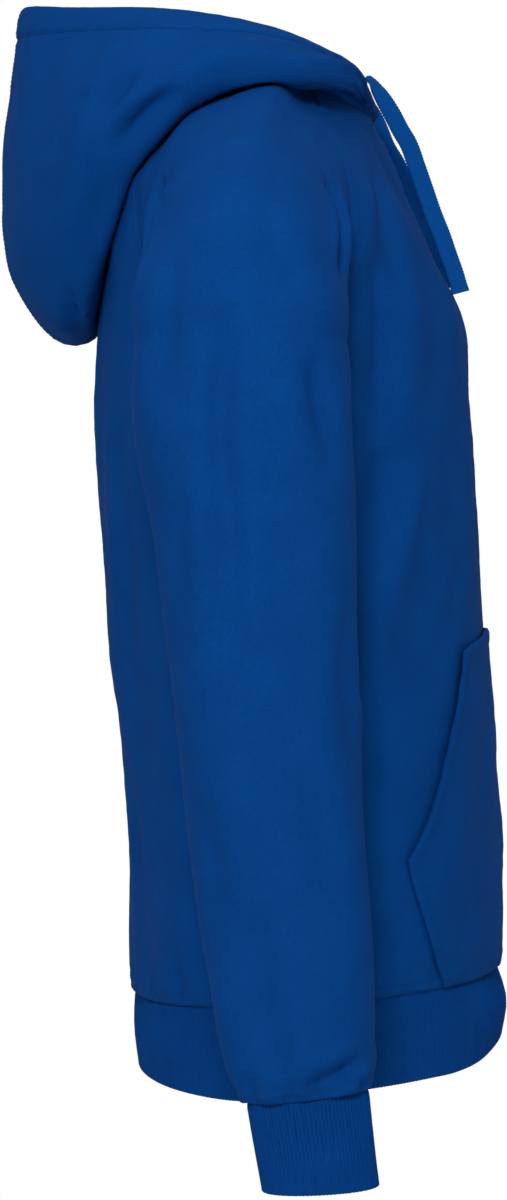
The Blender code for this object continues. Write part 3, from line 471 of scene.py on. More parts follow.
clothSettings = {"wall": 0.0022, "ribWall": 0.0024, "seamGap": 0.00006, "armpitZ": -0.200,
                 "yokeHeight": 0.20}
armpitZ = clothSettings["armpitZ"]
yokeHeight = clothSettings["yokeHeight"]

bodyRings = table(
    "z       halfWidth sideY  frontY   backY   tilt",
    (-0.6417, 0.1900, -0.030, -0.1645, 0.1003, -0.0713),
    (-0.6150, 0.1945, -0.028, -0.1652, 0.1012, -0.060),
    (-0.5600, 0.1990, -0.024, -0.1640, 0.1020, -0.045),
    (-0.4800, 0.2010, -0.017, -0.1600, 0.1082, -0.030),
    (-0.4000, 0.2005, -0.009, -0.1555, 0.1165, -0.015),
    (-0.3200, 0.1975, 0.000, -0.1523, 0.1231, 0.0),
    (-0.2550, 0.1915, 0.009, -0.1478, 0.1262, 0.0),
    (-0.2000, 0.1820, 0.016, -0.1445, 0.1265, 0.0),
)
frontYoke = table(
    "up   midY     midZ    seamX    seamY    seamZ   arrive leave",
    (0.00, -0.1445, -0.200, -0.1820, 0.0160, -0.200, 90, 90),
    (0.20, -0.1430, -0.178, -0.1795, -0.0160, -0.178, 80, 72),
    (0.35, -0.1375, -0.156, -0.1740, -0.0380, -0.150, 62, 35),
    (0.50, -0.1230, -0.130, -0.1650, -0.0510, -0.118, 46, 4),
    (0.65, -0.1115, -0.105, -0.1520, -0.0525, -0.082, 36, -16),
    (0.80, -0.1000, -0.080, -0.1320, -0.0445, -0.052, 34, -24),
    (0.90, -0.0895, -0.054, -0.1100, -0.0355, -0.030, 42, -32),
    (1.00, -0.0740, -0.021, -0.0830, -0.0260, -0.005, 70, -72),
)
backYoke = table(
    "up   midY    midZ    seamX    seamY   seamZ   arrive leave",
    (0.00, 0.1265, -0.200, -0.1820, 0.0160, -0.200, 90, 90),
    (0.20, 0.1255, -0.175, -0.1800, 0.0420, -0.184, 76, 70),
    (0.35, 0.1235, -0.150, -0.1760, 0.0670, -0.163, 56, 38),
    (0.50, 0.1195, -0.120, -0.1670, 0.0840, -0.136, 38, 8),
    (0.65, 0.1130, -0.088, -0.1520, 0.0915, -0.106, 22, -9),
    (0.80, 0.1010, -0.055, -0.1300, 0.0895, -0.073, 14, -12),
    (0.90, 0.0830, -0.028, -0.1040, 0.0680, -0.038, 20, -18),
    (1.00, 0.0500, 0.005, -0.0700, 0.0230, 0.003, 45, -45),
)
sleeveYoke = table(
    "up   x        y        z        frontSeam frontCrest backSeam backCrest",
    (0.00, -0.3125, 0.0160, -0.2000, 0.087, 0.087, 0.0987, 0.0987),
    (0.20, -0.3090, 0.0175, -0.1720, 0.055, 0.082, 0.066, 0.100),
    (0.35, -0.3015, 0.0185, -0.1470, 0.048, 0.060, 0.056, 0.080),
    (0.50, -0.2900, 0.0185, -0.1180, 0.067, 0.040, 0.0656, 0.0437),
    (0.65, -0.2660, 0.0160, -0.0840, 0.069, 0.025, 0.066, 0.035),
    (0.80, -0.2220, 0.0100, -0.0490, 0.058, 0.014, 0.0549, 0.0349),
    (0.90, -0.1650, 0.0020, -0.0225, 0.038, 0.009, 0.0382, 0.0263),
    (1.00, -0.0850, -0.0135, -0.0030, 0.0042, 0.0042, 0.0136, 0.0138),
)
sleeveRings = table(
    "z       innerX   outerX   frontY   backY   tilt",
    (-0.6875, -0.2585, -0.3175, -0.0628, 0.0176, -0.115),
    (-0.6770, -0.2485, -0.3222, -0.0668, 0.0262, -0.110),
    (-0.6500, -0.2390, -0.3270, -0.0668, 0.0345, -0.080),
    (-0.6100, -0.2330, -0.3285, -0.0655, 0.0410, -0.040),
    (-0.5450, -0.2245, -0.3280, -0.0620, 0.0508, 0.0),
    (-0.4700, -0.2160, -0.3265, -0.0575, 0.0615, 0.0),
    (-0.3950, -0.2090, -0.3255, -0.0550, 0.0700, 0.0),
    (-0.3200, -0.2025, -0.3245, -0.0555, 0.0775, 0.0),
    (-0.2550, -0.1945, -0.3205, -0.0525, 0.0905, 0.0),
    (-0.2000, -0.1820, -0.3125, -0.0493, 0.0900, 0.0),
)

# Folds: the line of each as (distance round the piece, z), its width, its depth (negative
# stands out), the swell of the cloth beside it, and where along the line it is deepest
frontFolds = [
    ([(0.068, -0.049), (0.110, -0.089), (0.168, -0.163)], 0.012, 0.0058, 0.25, 0.6),
    ([(0.160, -0.130), (0.176, -0.200), (0.190, -0.263)], 0.0120, 0.0085, 0.20, 0.55),
    ([(0.189, -0.264), (0.203, -0.301), (0.227, -0.357)], 0.0152, 0.0092, 0.20, 0.4),
    ([(0.151, -0.265), (0.192, -0.342), (0.226, -0.416)], 0.0144, -0.0071, 0.0, 0.45),
    ([(0.128, -0.120), (0.150, -0.168), (0.158, -0.224)], 0.0072, 0.002, 0.35, 0.4),
    ([(0.214, -0.430), (0.222, -0.480), (0.219, -0.545)], 0.0128, 0.0034, 0.30, 0.35),
    ([(0.060, -0.300), (0.052, -0.350), (0.058, -0.385)], 0.0128, 0.0015, 0.30, 0.5),
    ([(0.020, -0.185), (0.034, -0.245), (0.030, -0.300)], 0.0144, 0.0017, 0.25, 0.5),
    ([(0.236, -0.560), (0.226, -0.600), (0.228, -0.628)], 0.0072, 0.0027, 0.35, 0.7),
    ([(0.204, -0.585), (0.212, -0.615), (0.208, -0.638)], 0.0056, 0.0019, 0.35, 0.7),
    ([(0.110, -0.330), (0.128, -0.372), (0.160, -0.410)], 0.0096, 0.0019, 0.30, 0.4),
]
backFolds = [
    ([(0.170, -0.200), (0.190, -0.262), (0.205, -0.330)], 0.0168, 0.0069, 0.15, 0.4),
    ([(0.1165, -0.244), (0.112, -0.369), (0.1045, -0.509)], 0.016, 0.0051, 0.20, 0.4),
    ([(0.185, -0.480), (0.196, -0.545), (0.201, -0.636)], 0.0145, 0.0150, 0.15, 0.70),
    ([(0.060, -0.140), (0.052, -0.210), (0.058, -0.300)], 0.0144, 0.002, 0.25, 0.4),
    ([(0.020, -0.330), (0.026, -0.420), (0.018, -0.500)], 0.016, 0.0022, 0.25, 0.6),
    ([(0.074, -0.470), (0.082, -0.540), (0.078, -0.610)], 0.012, 0.0027, 0.30, 0.7),
    ([(0.146, -0.600), (0.150, -0.626), (0.146, -0.646)], 0.0064, 0.0027, 0.40, 0.8),
    ([(0.110, -0.618), (0.107, -0.634), (0.110, -0.650)], 0.0048, 0.0017, 0.40, 0.8),
    ([(0.040, -0.612), (0.044, -0.630), (0.040, -0.648)], 0.0056, 0.0019, 0.40, 0.8),
    ([(0.222, -0.360), (0.232, -0.420), (0.226, -0.470)], 0.0128, 0.0037, 0.25, 0.5),
]
sleeveFolds = [
    ([(0.084, -0.088), (0.103, -0.112), (0.0985, -0.1275), (0.094, -0.156)],
     0.0068, 0.0120, 0.25, 0.55),
    ([(-0.080, -0.087), (-0.099, -0.115), (-0.095, -0.150), (-0.110, -0.170)],
     0.0068, 0.0115, 0.25, 0.5),
    ([(-0.012, -0.178), (-0.017, -0.306), (-0.020, -0.435)], 0.0095, 0.0060, 0.25, 0.4),
    ([(-0.0455, -0.150), (-0.056, -0.200), (-0.054, -0.250)], 0.0100, 0.0045, 0.20, 0.5),
    ([(-0.036, -0.280), (-0.039, -0.357), (-0.040, -0.435)], 0.0112, -0.0045, 0.0, 0.5),
    ([(0.045, -0.210), (0.056, -0.250), (0.0685, -0.289)], 0.0100, 0.0060, 0.25, 0.45),
    ([(0.046, -0.660), (0.022, -0.671), (0.000, -0.683)], 0.0058, 0.0066, 0.45, 0.5),
    ([(-0.018, -0.560), (-0.024, -0.615), (-0.022, -0.668)], 0.0150, 0.0075, 0.20, 0.6),
    ([(0.034, -0.668), (0.040, -0.676), (0.045, -0.681)], 0.0048, 0.0029, 0.40, 0.6),
    ([(-0.030, -0.664), (-0.038, -0.674), (-0.043, -0.683)], 0.0056, 0.0029, 0.40, 0.6),
    ([(-0.006, -0.640), (-0.012, -0.656), (-0.022, -0.670)], 0.0072, 0.0022, 0.35, 0.6),
    ([(0.020, -0.470), (0.030, -0.530), (0.026, -0.600)], 0.0136, 0.0026, 0.25, 0.4),
    ([(-0.050, -0.500), (-0.046, -0.560), (-0.052, -0.620)], 0.012, 0.0029, 0.25, 0.5),
    ([(0.072, -0.360), (0.064, -0.420), (0.070, -0.480)], 0.0104, 0.0026, 0.30, 0.5),
    ([(0.092, -0.420), (0.110, -0.436), (0.130, -0.440)], 0.0088, 0.0035, 0.35, 0.6),
    ([(0.096, -0.462), (0.116, -0.472), (0.134, -0.470)], 0.008, 0.0029, 0.35, 0.6),
    ([(-0.100, -0.430), (-0.122, -0.446), (-0.142, -0.448)], 0.0096, 0.0035, 0.35, 0.6),
    ([(0.010, -0.110), (0.022, -0.150), (0.020, -0.200)], 0.0128, 0.0019, 0.25, 0.5),
]
hoodCreases = [      # seen from the side, as (y, z)
    ([(0.0929, -0.0037), (0.108, -0.020), (0.1225, -0.0353)], 0.0066, 0.0064, 0.25, 0.45),
    ([(0.0640, -0.0195), (0.087, -0.039), (0.1088, -0.0615)], 0.0070, 0.0085, 0.30, 0.45),
    ([(0.1246, -0.0161), (0.129, -0.022), (0.1315, -0.0278)], 0.0045, 0.0026, 0.35, 0.5),
    ([(0.1420, -0.1480), (0.1405, -0.166), (0.1380, -0.1890)], 0.0048, 0.0098, 0.20, 0.6),
    ([(0.150, 0.030), (0.162, -0.010), (0.160, -0.060)], 0.012, 0.0022, 0.25, 0.5),
    ([(0.110, -0.080), (0.124, -0.110), (0.126, -0.145)], 0.010, 0.0026, 0.30, 0.5),
    ([(0.098, 0.012), (0.112, 0.001), (0.121, -0.010)], 0.005, 0.0018, 0.35, 0.5),
]


def nearestOnLine(at, up, line):
    # signed distance to a smooth line through the points, and the share of its length there
    path = smoothLine(np.array(line, float), count=22)
    best = np.full(at.shape, 9.0)
    signed = np.full(at.shape, 9.0)
    share = np.zeros(at.shape)
    for k in range(len(path) - 1):
        run = path[k + 1] - path[k]
        offAt = at - path[k, 0]
        offUp = up - path[k, 1]
        t = np.clip((offAt * run[0] + offUp * run[1]) / (run @ run), 0, 1)
        away = np.hypot(offAt - t * run[0], offUp - t * run[1])
        near = away < best
        best = np.where(near, away, best)
        signed = np.where(near, np.sign(offAt * run[1] - offUp * run[0]) * away, signed)
        share = np.where(near, (k + t) / (len(path) - 1), share)
    return signed, share


foldSettings = {
    "taper": 1.4, "startWidth": 0.75, "widening": 0.5,     # folds widen as they run out
    "swellAt": 1.9, "swellWidth": 0.9,                     # in widths from the line
    "weaker": -0.25, "stronger": 0.2,                      # where the folds are varied
}


def foldRelief(at, up, folds, sway=0.0, seed=1):
    settings = foldSettings
    random = np.random.default_rng(seed)
    relief = np.zeros(at.shape)
    for line, width, depth, swell, peak in folds:
        shift = random.uniform(-1, 1, 2) * sway
        change = 1 + random.uniform(settings["weaker"], settings["stronger"]) * (sway > 0)
        moved = [(a + shift[0], z + shift[1]) for a, z in line]
        signed, share = nearestOnLine(at, up, moved)
        p = settings["taper"] * peak
        q = settings["taper"] * (1 - peak)
        share = np.clip(share, 1e-6, 1 - 1e-6)
        taper = share ** p * (1 - share) ** q / (peak ** p * (1 - peak) ** q)
        width = width * (settings["startWidth"] + settings["widening"] * share)
        shape = np.exp(-(signed / width) ** 2)
        beside = np.exp(-((np.abs(signed) - settings["swellAt"] * width)
                          / (settings["swellWidth"] * width)) ** 2)
        relief -= change * depth * taper * (shape - swell * beside)
    return relief


def waves(place, seed, shortest, longest, count=7):
    # uneven ripple along a line, about 1 high
    random = np.random.default_rng(seed)
    total = np.zeros(np.shape(place))
    for _ in range(count):
        length = random.uniform(shortest, longest)
        total = total + np.sin(2 * math.pi * place / length + random.uniform(0, 2 * math.pi))
    return total / math.sqrt(count / 2) / 1.4


def softUndulation(at, up, seed, shortest=0.05, longest=0.16, upright=0.45, count=12):
    # slow unevenness of worn cloth, longer up and down than across
    random = np.random.default_rng(seed)
    total = np.zeros(at.shape)
    for _ in range(count):
        length = random.uniform(shortest, longest)
        slant = random.uniform(-1, 1) * upright * math.pi / 2
        phase = random.uniform(0, 2 * math.pi)
        place = at * math.cos(slant) + up * math.sin(slant)
        total += np.sin(2 * math.pi / length * place + phase)
    return total / math.sqrt(count / 2) / 1.4


seamSettings = {
    "trough": 0.0009, "troughWidth": 0.0014, "allowance": 0.00055, "reach": 0.0085, "step": 0.003,
    "pucker": 0.00035, "puckerLength": (0.007, 0.015), "puckerReach": 0.009,
    "ribAllowance": 0.0007, "gatherLength": (0.012, 0.034),
}


def seamRelief(distance, along, seed, allowance=seamSettings["allowance"],
               reach=seamSettings["reach"]):
    # the cloth dives into the seam, lies proud over its allowance and puckers beside it
    settings = seamSettings
    trough = -settings["trough"] * np.exp(-(distance / settings["troughWidth"]) ** 2)
    over = allowance * fade(distance, 0.0022) * (1 - fade(distance - reach, settings["step"]))
    ripple = settings["pucker"] * waves(along, seed, *settings["puckerLength"])
    ripple *= fade(distance, 0.002) * np.exp(-distance / settings["puckerReach"])
    return trough + over + ripple


def gatherRelief(distance, along, seed, height, reach):
    # fullness that the tighter rib pulls in: short upright ripples above the seam
    ripple = waves(along, seed, *seamSettings["gatherLength"], count=9)
    return height * ripple * np.exp(-distance / reach) * fade(distance, 0.004)


def panelLevels(yoke, middle):
    rings = {name: column[:-1] for name, column in bodyRings.items()}
    rise = rings["tilt"] * (rings[middle] - rings["sideY"])
    below = {
        "height": rings["z"] - armpitZ, "midY": rings[middle], "midZ": rings["z"] + rise,
        "seamX": -rings["halfWidth"], "seamY": rings["sideY"], "seamZ": rings["z"],
        "arrive": np.full(len(rise), 90.0),
    }
    above = dict(yoke, height=yoke["up"] * yokeHeight)
    return {name: np.concatenate([below[name], above[name]]) for name in below}


turningColumns = ("seamX", "seamY", "seamZ", "arrive", "frontX", "frontY", "frontZ", "backX",
                  "backY", "backZ", "frontLeave", "backLeave")


def levelAt(levels, height):
    # the seams turn sharply at the armpit, so they are read below it or above it
    heights = levels["height"]
    armpit = int(np.searchsorted(heights, 0.0))
    beside = slice(None, armpit + 1) if height <= 0 else slice(armpit, None)
    level = {}
    for name, column in levels.items():
        part = beside if name in turningColumns else slice(None)
        level[name] = float(smoothCurve(heights[part], column[part], height))
    return level


def panelHalfRow(levels, height, side):
    level = levelAt(levels, height)
    angle = math.radians(level["arrive"])
    middle = np.array([0.0, level["midY"], 0.0])
    seam = np.array([level["seamX"], level["seamY"], 0.0])
    heading = np.array([-math.cos(angle), -side * math.sin(angle), 0.0])
    run = (seam[1] - middle[1]) / heading[1]
    corner = seam - run * heading
    fullness = 1.08 if angle > 1.0 else 1.0
    pull = fullness * 4 / 3 * math.tan(angle / 4) / math.tan(angle / 2)
    curve = bezier(middle, middle + pull * (corner - middle), seam + pull * (corner - seam), seam)
    part = (curve[:, 1] - middle[1]) / (seam[1] - middle[1])
    curve[:, 2] = level["midZ"] + (level["seamZ"] - level["midZ"]) * part
    return curve


frontLevels = panelLevels(frontYoke, "frontY")
backLevels = panelLevels(backYoke, "backY")


def neckSlope(yoke):
    return (yoke["seamZ"][-1] - yoke["midZ"][-1]) / (yoke["seamY"][-1] - yoke["midY"][-1])


frontNeckSlope = neckSlope(frontYoke)
backNeckSlope = neckSlope(backYoke)
sleeveNeckSlope = ((backYoke["seamZ"][-1] - frontYoke["seamZ"][-1])
                   / (backYoke["seamY"][-1] - frontYoke["seamY"][-1]))
hemTilt = bodyRings["tilt"][0]

# distances from a seam at which the cloth has a row or column of points
edgeSteps = np.array([0, 0.5, 1.0, 1.6, 2.2, 3.0, 4.0, 5.0, 6.2, 7.4, 8.6, 10, 11.5, 13, 14.5, 16.2,
                      18, 20, 22, 24.5, 27]) / 1000
rimSteps = edgeSteps[:13]      # beside the hem, the cuff and the neck
gridSettings = {"panelColumns": 56, "sleeveColumns": 88, "bodyStep": 0.0046, "yokeStep": 0.0038}
yokeTurn = {"z": -0.188, "reach": 0.035, "share": 0.5, "passes": 60}
clothUnevenness = {"slow": 0.0011, "fine": 0.00016, "fineLength": (0.010, 0.026)}
neckReach = 0.018      # where folds and slow unevenness run out at the neck
fineReach = 0.006
# how far beside the seams, and above the hem or cuff, folds and slow unevenness run out, how
# far the seam's allowance reaches, and how much the rib gathers the cloth
panelCloth = {"foldSeam": 0.008, "foldEnd": 0.007, "slowSeam": 0.022, "slowEnd": 0.018,
              "reach": 0.0100, "gather": 0.0011, "gatherReach": 0.020, "gatherSeam": 0.010,
              "gatherSeed": 6}
sleeveCloth = {"foldSeam": 0.006, "foldEnd": 0.004, "slowSeam": 0.020, "slowEnd": 0.010,
               "reach": 0.0085, "gather": 0.0013, "gatherReach": 0.016, "gatherSeam": 0.008,
               "gatherSeed": 5}


def seamedFractions(length, count, bothEnds):
    # even in the middle, closer beside the seam at the end, or beside both
    near = edgeSteps * min(1.0, 0.3 * length / edgeSteps[-1])
    start = near[-1] if bothEnds else 0.0
    middle = np.linspace(start, length - near[-1], count)
    far = length - near[::-1]
    parts = [near[:-1], middle, far[1:]] if bothEnds else [middle, far[1:]]
    return np.concatenate(parts) / length


def rowHeights(lowest):
    # heights of the rows from the armpit, and how many of them lie below it or level with it
    near = rimSteps[:-1]
    first, last = lowest + rimSteps[-1], yokeHeight - rimSteps[-1]
    below = np.linspace(first, 0, round(-first / gridSettings["bodyStep"]) + 1)
    above = np.linspace(0, last, round(last / gridSettings["yokeStep"]) + 1)[1:]
    heights = np.concatenate([lowest + near, below, above, yokeHeight - near[::-1]])
    return heights, len(near) + len(below)


bodyHeights, bodyBelow = rowHeights(bodyRings["z"][0] - armpitZ)


def panelGrid(levels, side, folds, seed):
    # outer face of the front or back with its folds, and the distances round it from the
    # middle, negative on the wearer's right
    halves = []
    around = []
    for height in bodyHeights:
        curve = panelHalfRow(levels, height, side)
        length = lengthsAlong(curve)[-1]
        fractions = seamedFractions(length, gridSettings["panelColumns"], False)
        halves.append(spaced(curve, fractions))
        around.append(fractions * length)
    half = np.array(halves)
    around = np.array(around)
    if side < 0:
        half = half[:, ::-1]
        around = around[:, ::-1]
        grid = np.concatenate([half, mirrored(half)[:, 1:]], axis=1)
        signed = np.concatenate([-around, around[:, ::-1][:, 1:]], axis=1)
    else:
        grid = np.concatenate([mirrored(half), half[:, 1:]], axis=1)
        signed = np.concatenate([around[:, ::-1], -around[:, 1:]], axis=1)
    # cloth turns softly from the body into the yoke
    turn = np.exp(-((grid[..., 2] - yokeTurn["z"]) / yokeTurn["reach"]) ** 2)
    ease = yokeTurn["share"] * turn * fade(fromNearer(grid, 1), yokeTurn["reach"])
    ease = ease[1:-1, :, None]
    for _ in range(yokeTurn["passes"]):
        grid[1:-1] += ease * ((grid[:-2] + grid[2:]) / 2 - grid[1:-1])
    away = fromNearer(grid, 1), fromEdge(grid, 0), fromEdge(grid, 0, True)
    relief = panelRelief(signed, grid[..., 2], away, folds, seed)
    return grid + relief[..., None] * gridNormals(grid), signed


def fineUnevenness(at, up, seed):
    shortest, longest = clothUnevenness["fineLength"]
    return clothUnevenness["fine"] * softUndulation(at, up, seed, shortest, longest, 1.0, 16)


def wornRelief(folded, at, z, away, seed, settings):
    # folds, slow and fine unevenness, and what the seams do to the cloth beside them
    seamAway, endAway, neckAway = away
    nearNeck = fade(neckAway, neckReach)
    folded = folded * nearNeck * fade(seamAway, settings["foldSeam"])
    folded *= fade(endAway, settings["foldEnd"])
    slow = clothUnevenness["slow"] * softUndulation(at, z, seed)
    slow *= nearNeck * fade(seamAway, settings["slowSeam"]) * fade(endAway, settings["slowEnd"])
    fine = fineUnevenness(at, z, seed + 1) * fade(seamAway, fineReach) * fade(endAway, fineReach)
    gathered = gatherRelief(endAway, at, seed + settings["gatherSeed"], settings["gather"],
                            settings["gatherReach"])
    return (folded + slow + fine + seamRelief(seamAway, z, seed + 2)
            + seamRelief(neckAway, at, seed + 3)
            + seamRelief(endAway, at, seed + 4, seamSettings["ribAllowance"], settings["reach"])
            + gathered * fade(seamAway, settings["gatherSeam"]))


def panelRelief(signed, z, away, folds, seed):
    at = np.abs(signed)
    right = foldRelief(at, z, folds)
    left = foldRelief(at, z, folds, 0.007, seed + 5)
    return wornRelief(np.where(signed < 0, right, left), signed, z, away, seed, panelCloth)


print("front and back")
frontGrid, frontAt = panelGrid(frontLevels, -1, frontFolds, 11)
backGrid, backAt = panelGrid(backLevels, 1, backFolds, 31)


def sleeveLevelsOf():
    rings = {name: column[:-1] for name, column in sleeveRings.items()}
    yoke = sleeveYoke
    middleY = (rings["frontY"] + rings["backY"]) / 2
    swell = (rings["backY"] - rings["frontY"]) / 2 / 0.75
    below = {"height": rings["z"] - armpitZ, "x": rings["outerX"], "y": middleY, "z": rings["z"],
             "tilt": rings["tilt"]}
    above = dict(yoke, height=yoke["up"] * yokeHeight, tilt=np.zeros(len(yoke["up"])))
    for part, panelYoke in (("front", frontYoke), ("back", backYoke)):
        below.update({part + "X": rings["innerX"], part + "Y": middleY, part + "Z": rings["z"],
                      part + "Leave": np.full(len(swell), 90.0), part + "Seam": swell,
                      part + "Crest": swell})
        above.update({part + "X": panelYoke["seamX"], part + "Y": panelYoke["seamY"],
                      part + "Z": panelYoke["seamZ"], part + "Leave": panelYoke["leave"]})
    return {name: np.concatenate([below[name], above[name]]) for name in below}


sleeveLevels = sleeveLevelsOf()


def sleeveRow(height):
    # from the back seam over the outer line to the front seam, and the length to that line
    level = levelAt(sleeveLevels, height)
    crest = np.array([level["x"], level["y"], level["z"]])
    halves = []
    for part, side in (("back", 1), ("front", -1)):
        seam = np.array([level[part + "X"], level[part + "Y"], level[part + "Z"]])
        angle = math.radians(level[part + "Leave"])
        heading = np.array([-math.cos(angle), side * math.sin(angle), 0.0])
        handle = seam + level[part + "Seam"] * heading
        handle[2] += 0.3 * (crest[2] - seam[2])
        crestHandle = crest + np.array([0, side * level[part + "Crest"], 0])
        halves.append(bezier(seam, handle, crestHandle, crest))
    curve = np.concatenate([halves[0], halves[1][::-1][1:]])
    if height >= yokeHeight:
        curve[:, 2] = crest[2] + sleeveNeckSlope * (curve[:, 1] - crest[1])
    curve[:, 2] += level["tilt"] * (curve[:, 1] - crest[1])
    return curve, lengthsAlong(halves[0])[-1]


sleeveHeights, sleeveBelow = rowHeights(sleeveRings["z"][0] - armpitZ)


def sleeveGrid(sway, seed):
    rows = []
    around = []
    for height in sleeveHeights:
        curve, toCrest = sleeveRow(height)
        length = lengthsAlong(curve)[-1]
        fractions = seamedFractions(length, gridSettings["sleeveColumns"], True)
        rows.append(spaced(curve, fractions))
        around.append(fractions * length - toCrest)
    grid = np.array(rows)
    at = np.array(around)
    away = fromNearer(grid, 1), fromEdge(grid, 0), fromEdge(grid, 0, True)
    folded = foldRelief(at, grid[..., 2], sleeveFolds, sway, seed)
    relief = wornRelief(folded, at, grid[..., 2], away, seed, sleeveCloth)
    return grid + relief[..., None] * gridNormals(grid, sleeveBelow), at


print("sleeves")
rightSleeve, sleeveAt = sleeveGrid(0.0, 51)
leftSleeve, _ = sleeveGrid(0.008, 71)


def clothWalls(grid, thickness, lowSlope=None, topSlope=None, closedRows=0):
    # the inner face, one thickness behind the outer one
    normals = gridNormals(grid, closedRows)
    if lowSlope is not None:
        normals[0] = inRingPlane(normals[0], lowSlope)
    if topSlope is not None:
        normals[-1] = inRingPlane(normals[-1], topSlope)
    thickness = np.broadcast_to(np.asarray(thickness, float), grid.shape[:2])
    return grid - thickness[..., None] * normals, normals


wall = clothSettings["wall"]
halfGap = clothSettings["seamGap"] / 2
for panel, toward in ((frontGrid, -1), (backGrid, 1)):
    right, left = (0, -1) if toward < 0 else (-1, 0)
    panel[:, right] += (halfGap, toward * halfGap, 0)
    panel[:, left] += (-halfGap, toward * halfGap, 0)
frontInner, frontNormals = clothWalls(frontGrid, wall, hemTilt, frontNeckSlope)
backInner, backNormals = clothWalls(backGrid, wall, hemTilt, backNeckSlope)
cloth = [clothFace, clothInside]
frontPiece = clothShell("frontPanel", frontGrid, frontInner, clothUv(frontAt, frontGrid), cloth,
                        ["front"])
backPiece = clothShell("backPanel", backGrid, backInner, clothUv(backAt, backGrid), cloth,
                       ["back"])
sleevePieces = []
sleeveFaces = []
for side, grid in ((-1, rightSleeve), (1, leftSleeve)):
    inner, normals = clothWalls(grid, wall, sleeveRings["tilt"][0], sleeveNeckSlope, sleeveBelow)
    uv = clothUv(sleeveAt, grid)
    if side > 0:
        grid, inner, normals, uv = mirrored(grid), mirrored(inner), mirrored(normals), uv[:, ::-1]
    sleeveFaces.append((grid, normals))
    name, replaced = sided("sleeve", side)
    sleevePieces.append(clothShell(name, grid, inner, uv, cloth, replaced,
                                   closedRows=sleeveBelow))


# Rib bands

hemSettings = {
    "ribs": 400, "points": 8, "rise": 0.0009, "rows": 10, "lastRow": 0.96, "depth": 0.058,
    "tuck": 0.0009, "tuckReach": 0.0025, "ripple": 0.0005, "rippleShare": (0.03, 0.09),
    "rippleSeed": 201, "ribSeed": 211, "frontReach": 0.135, "backReach": 0.13,
}
cuffSettings = {
    "ribs": 83, "points": 10, "rise": 0.0010, "rows": 13, "lastRow": 0.965, "depth": 0.060,
    "tuck": 0.0010, "tuckReach": 0.0028, "ripple": 0.0006, "rippleShare": (0.12, 0.35),
    "rippleSeed": 0, "ribSeed": 1, "narrowing": 0.0016, "inset": 0.0002,
    "lean": (-0.0005, -0.0085), "levelling": 0.55,
}
hemBandEdge = table(
    "y      z",
    (-0.175, -0.6770), (-0.167, -0.6787), (-0.155, -0.6842), (-0.145, -0.6892),
    (-0.127, -0.6933), (-0.109, -0.6946), (-0.075, -0.6977), (-0.025, -0.7030),
    (0.023, -0.7080), (0.056, -0.7076), (0.092, -0.7054), (0.100, -0.7045),
)
hemBandSwell = table(
    "down   side     atFront  atBack",
    (0.00, 0.0000, 0.0006, -0.0015),
    (0.50, 0.0010, 0.0070, -0.0025),
    (1.00, -0.0010, 0.0060, -0.0027),
)


def ringOutward(ring):
    along = np.roll(ring, -1, axis=0) - np.roll(ring, 1, axis=0)
    across = unit(np.stack([along[:, 1], -along[:, 0], np.zeros(len(ring))], -1))
    return across * np.sign((across * (ring - ring.mean(axis=0))).sum())


def closedSpaced(ring, count):
    return spaced(np.concatenate([ring, ring[:1]]), np.linspace(0, 1, count + 1))[:-1]


ribShape = {
    "round": 0.75, "wander": 0.16, "drift": 0.3, "wanderShare": (0.02, 0.06), "atEdges": 0.55,
}


def ribbedRing(ring, outward, settings, down, seed):
    # round wales with a narrow furrow on each side, lower at the edges of the band
    ribs = settings["ribs"]
    phase = np.arange(len(ring)) * ribs / len(ring)
    wander = ribShape["wander"] * waves(phase / ribs + ribShape["drift"] * down, seed,
                                        *ribShape["wanderShare"])
    edges = ribShape["atEdges"]
    rise = settings["rise"] * (edges + (1 - edges) * math.sin(math.pi * min(1, down + 0.12)))
    height = rise * (np.abs(np.cos(math.pi * (phase + wander))) ** ribShape["round"] - 0.5)
    return ring + outward * height[:, None]


def ribBand(sewnRing, settings, place, seed):
    # outer and inner face of a band, row by row below the ring that it is sewn to
    downs = np.linspace(0.1, settings["lastRow"], settings["rows"] - 4)
    outers = []
    inners = []
    for down in [0, 0.02, 0.05, *downs, 1.0]:
        ring = closedSpaced(sewnRing, settings["ribs"] * settings["points"])
        outward = ringOutward(ring)
        share = np.arange(len(ring)) / len(ring)
        below = down * settings["depth"]
        tuck = -settings["tuck"] * math.exp(-(below / settings["tuckReach"]) ** 2)
        ripple = settings["ripple"] * math.sin(math.pi * down) * waves(
            share, settings["rippleSeed"] + seed, *settings["rippleShare"])
        ring = place(ring, outward, down, tuck + ripple)
        inners.append(ring - outward * clothSettings["ribWall"])
        outers.append(ribbedRing(ring, outward, settings, down, settings["ribSeed"] + seed))
    return np.array(outers)[::-1], np.array(inners)[::-1]


def placeHemRing(ring, outward, down, drawn):
    middle = hemRing[0, 1]
    swell = [smoothCurve(hemBandSwell["down"], hemBandSwell[name], down)
             for name in ("side", "atFront", "atBack")]
    frontness = np.clip((middle - ring[:, 1]) / hemSettings["frontReach"], 0, 1) ** 2
    backness = np.clip((ring[:, 1] - middle) / hemSettings["backReach"], 0, 1) ** 2
    out = swell[0] + swell[1] * frontness + swell[2] * backness
    flat = hemRing[0, 2] + hemTilt * (ring[:, 1] - middle) - clothSettings["seamGap"]
    bottom = smoothCurve(hemBandEdge["y"], hemBandEdge["z"], ring[:, 1])
    ring[:, 2] = flat + down * (bottom - flat)
    return ring + outward * (out + drawn)[:, None]


hemRing = np.concatenate([frontGrid[0, :-1], backGrid[0, :-1]])
bandOuter, bandInner = ribBand(hemRing, hemSettings, placeHemRing, 0)


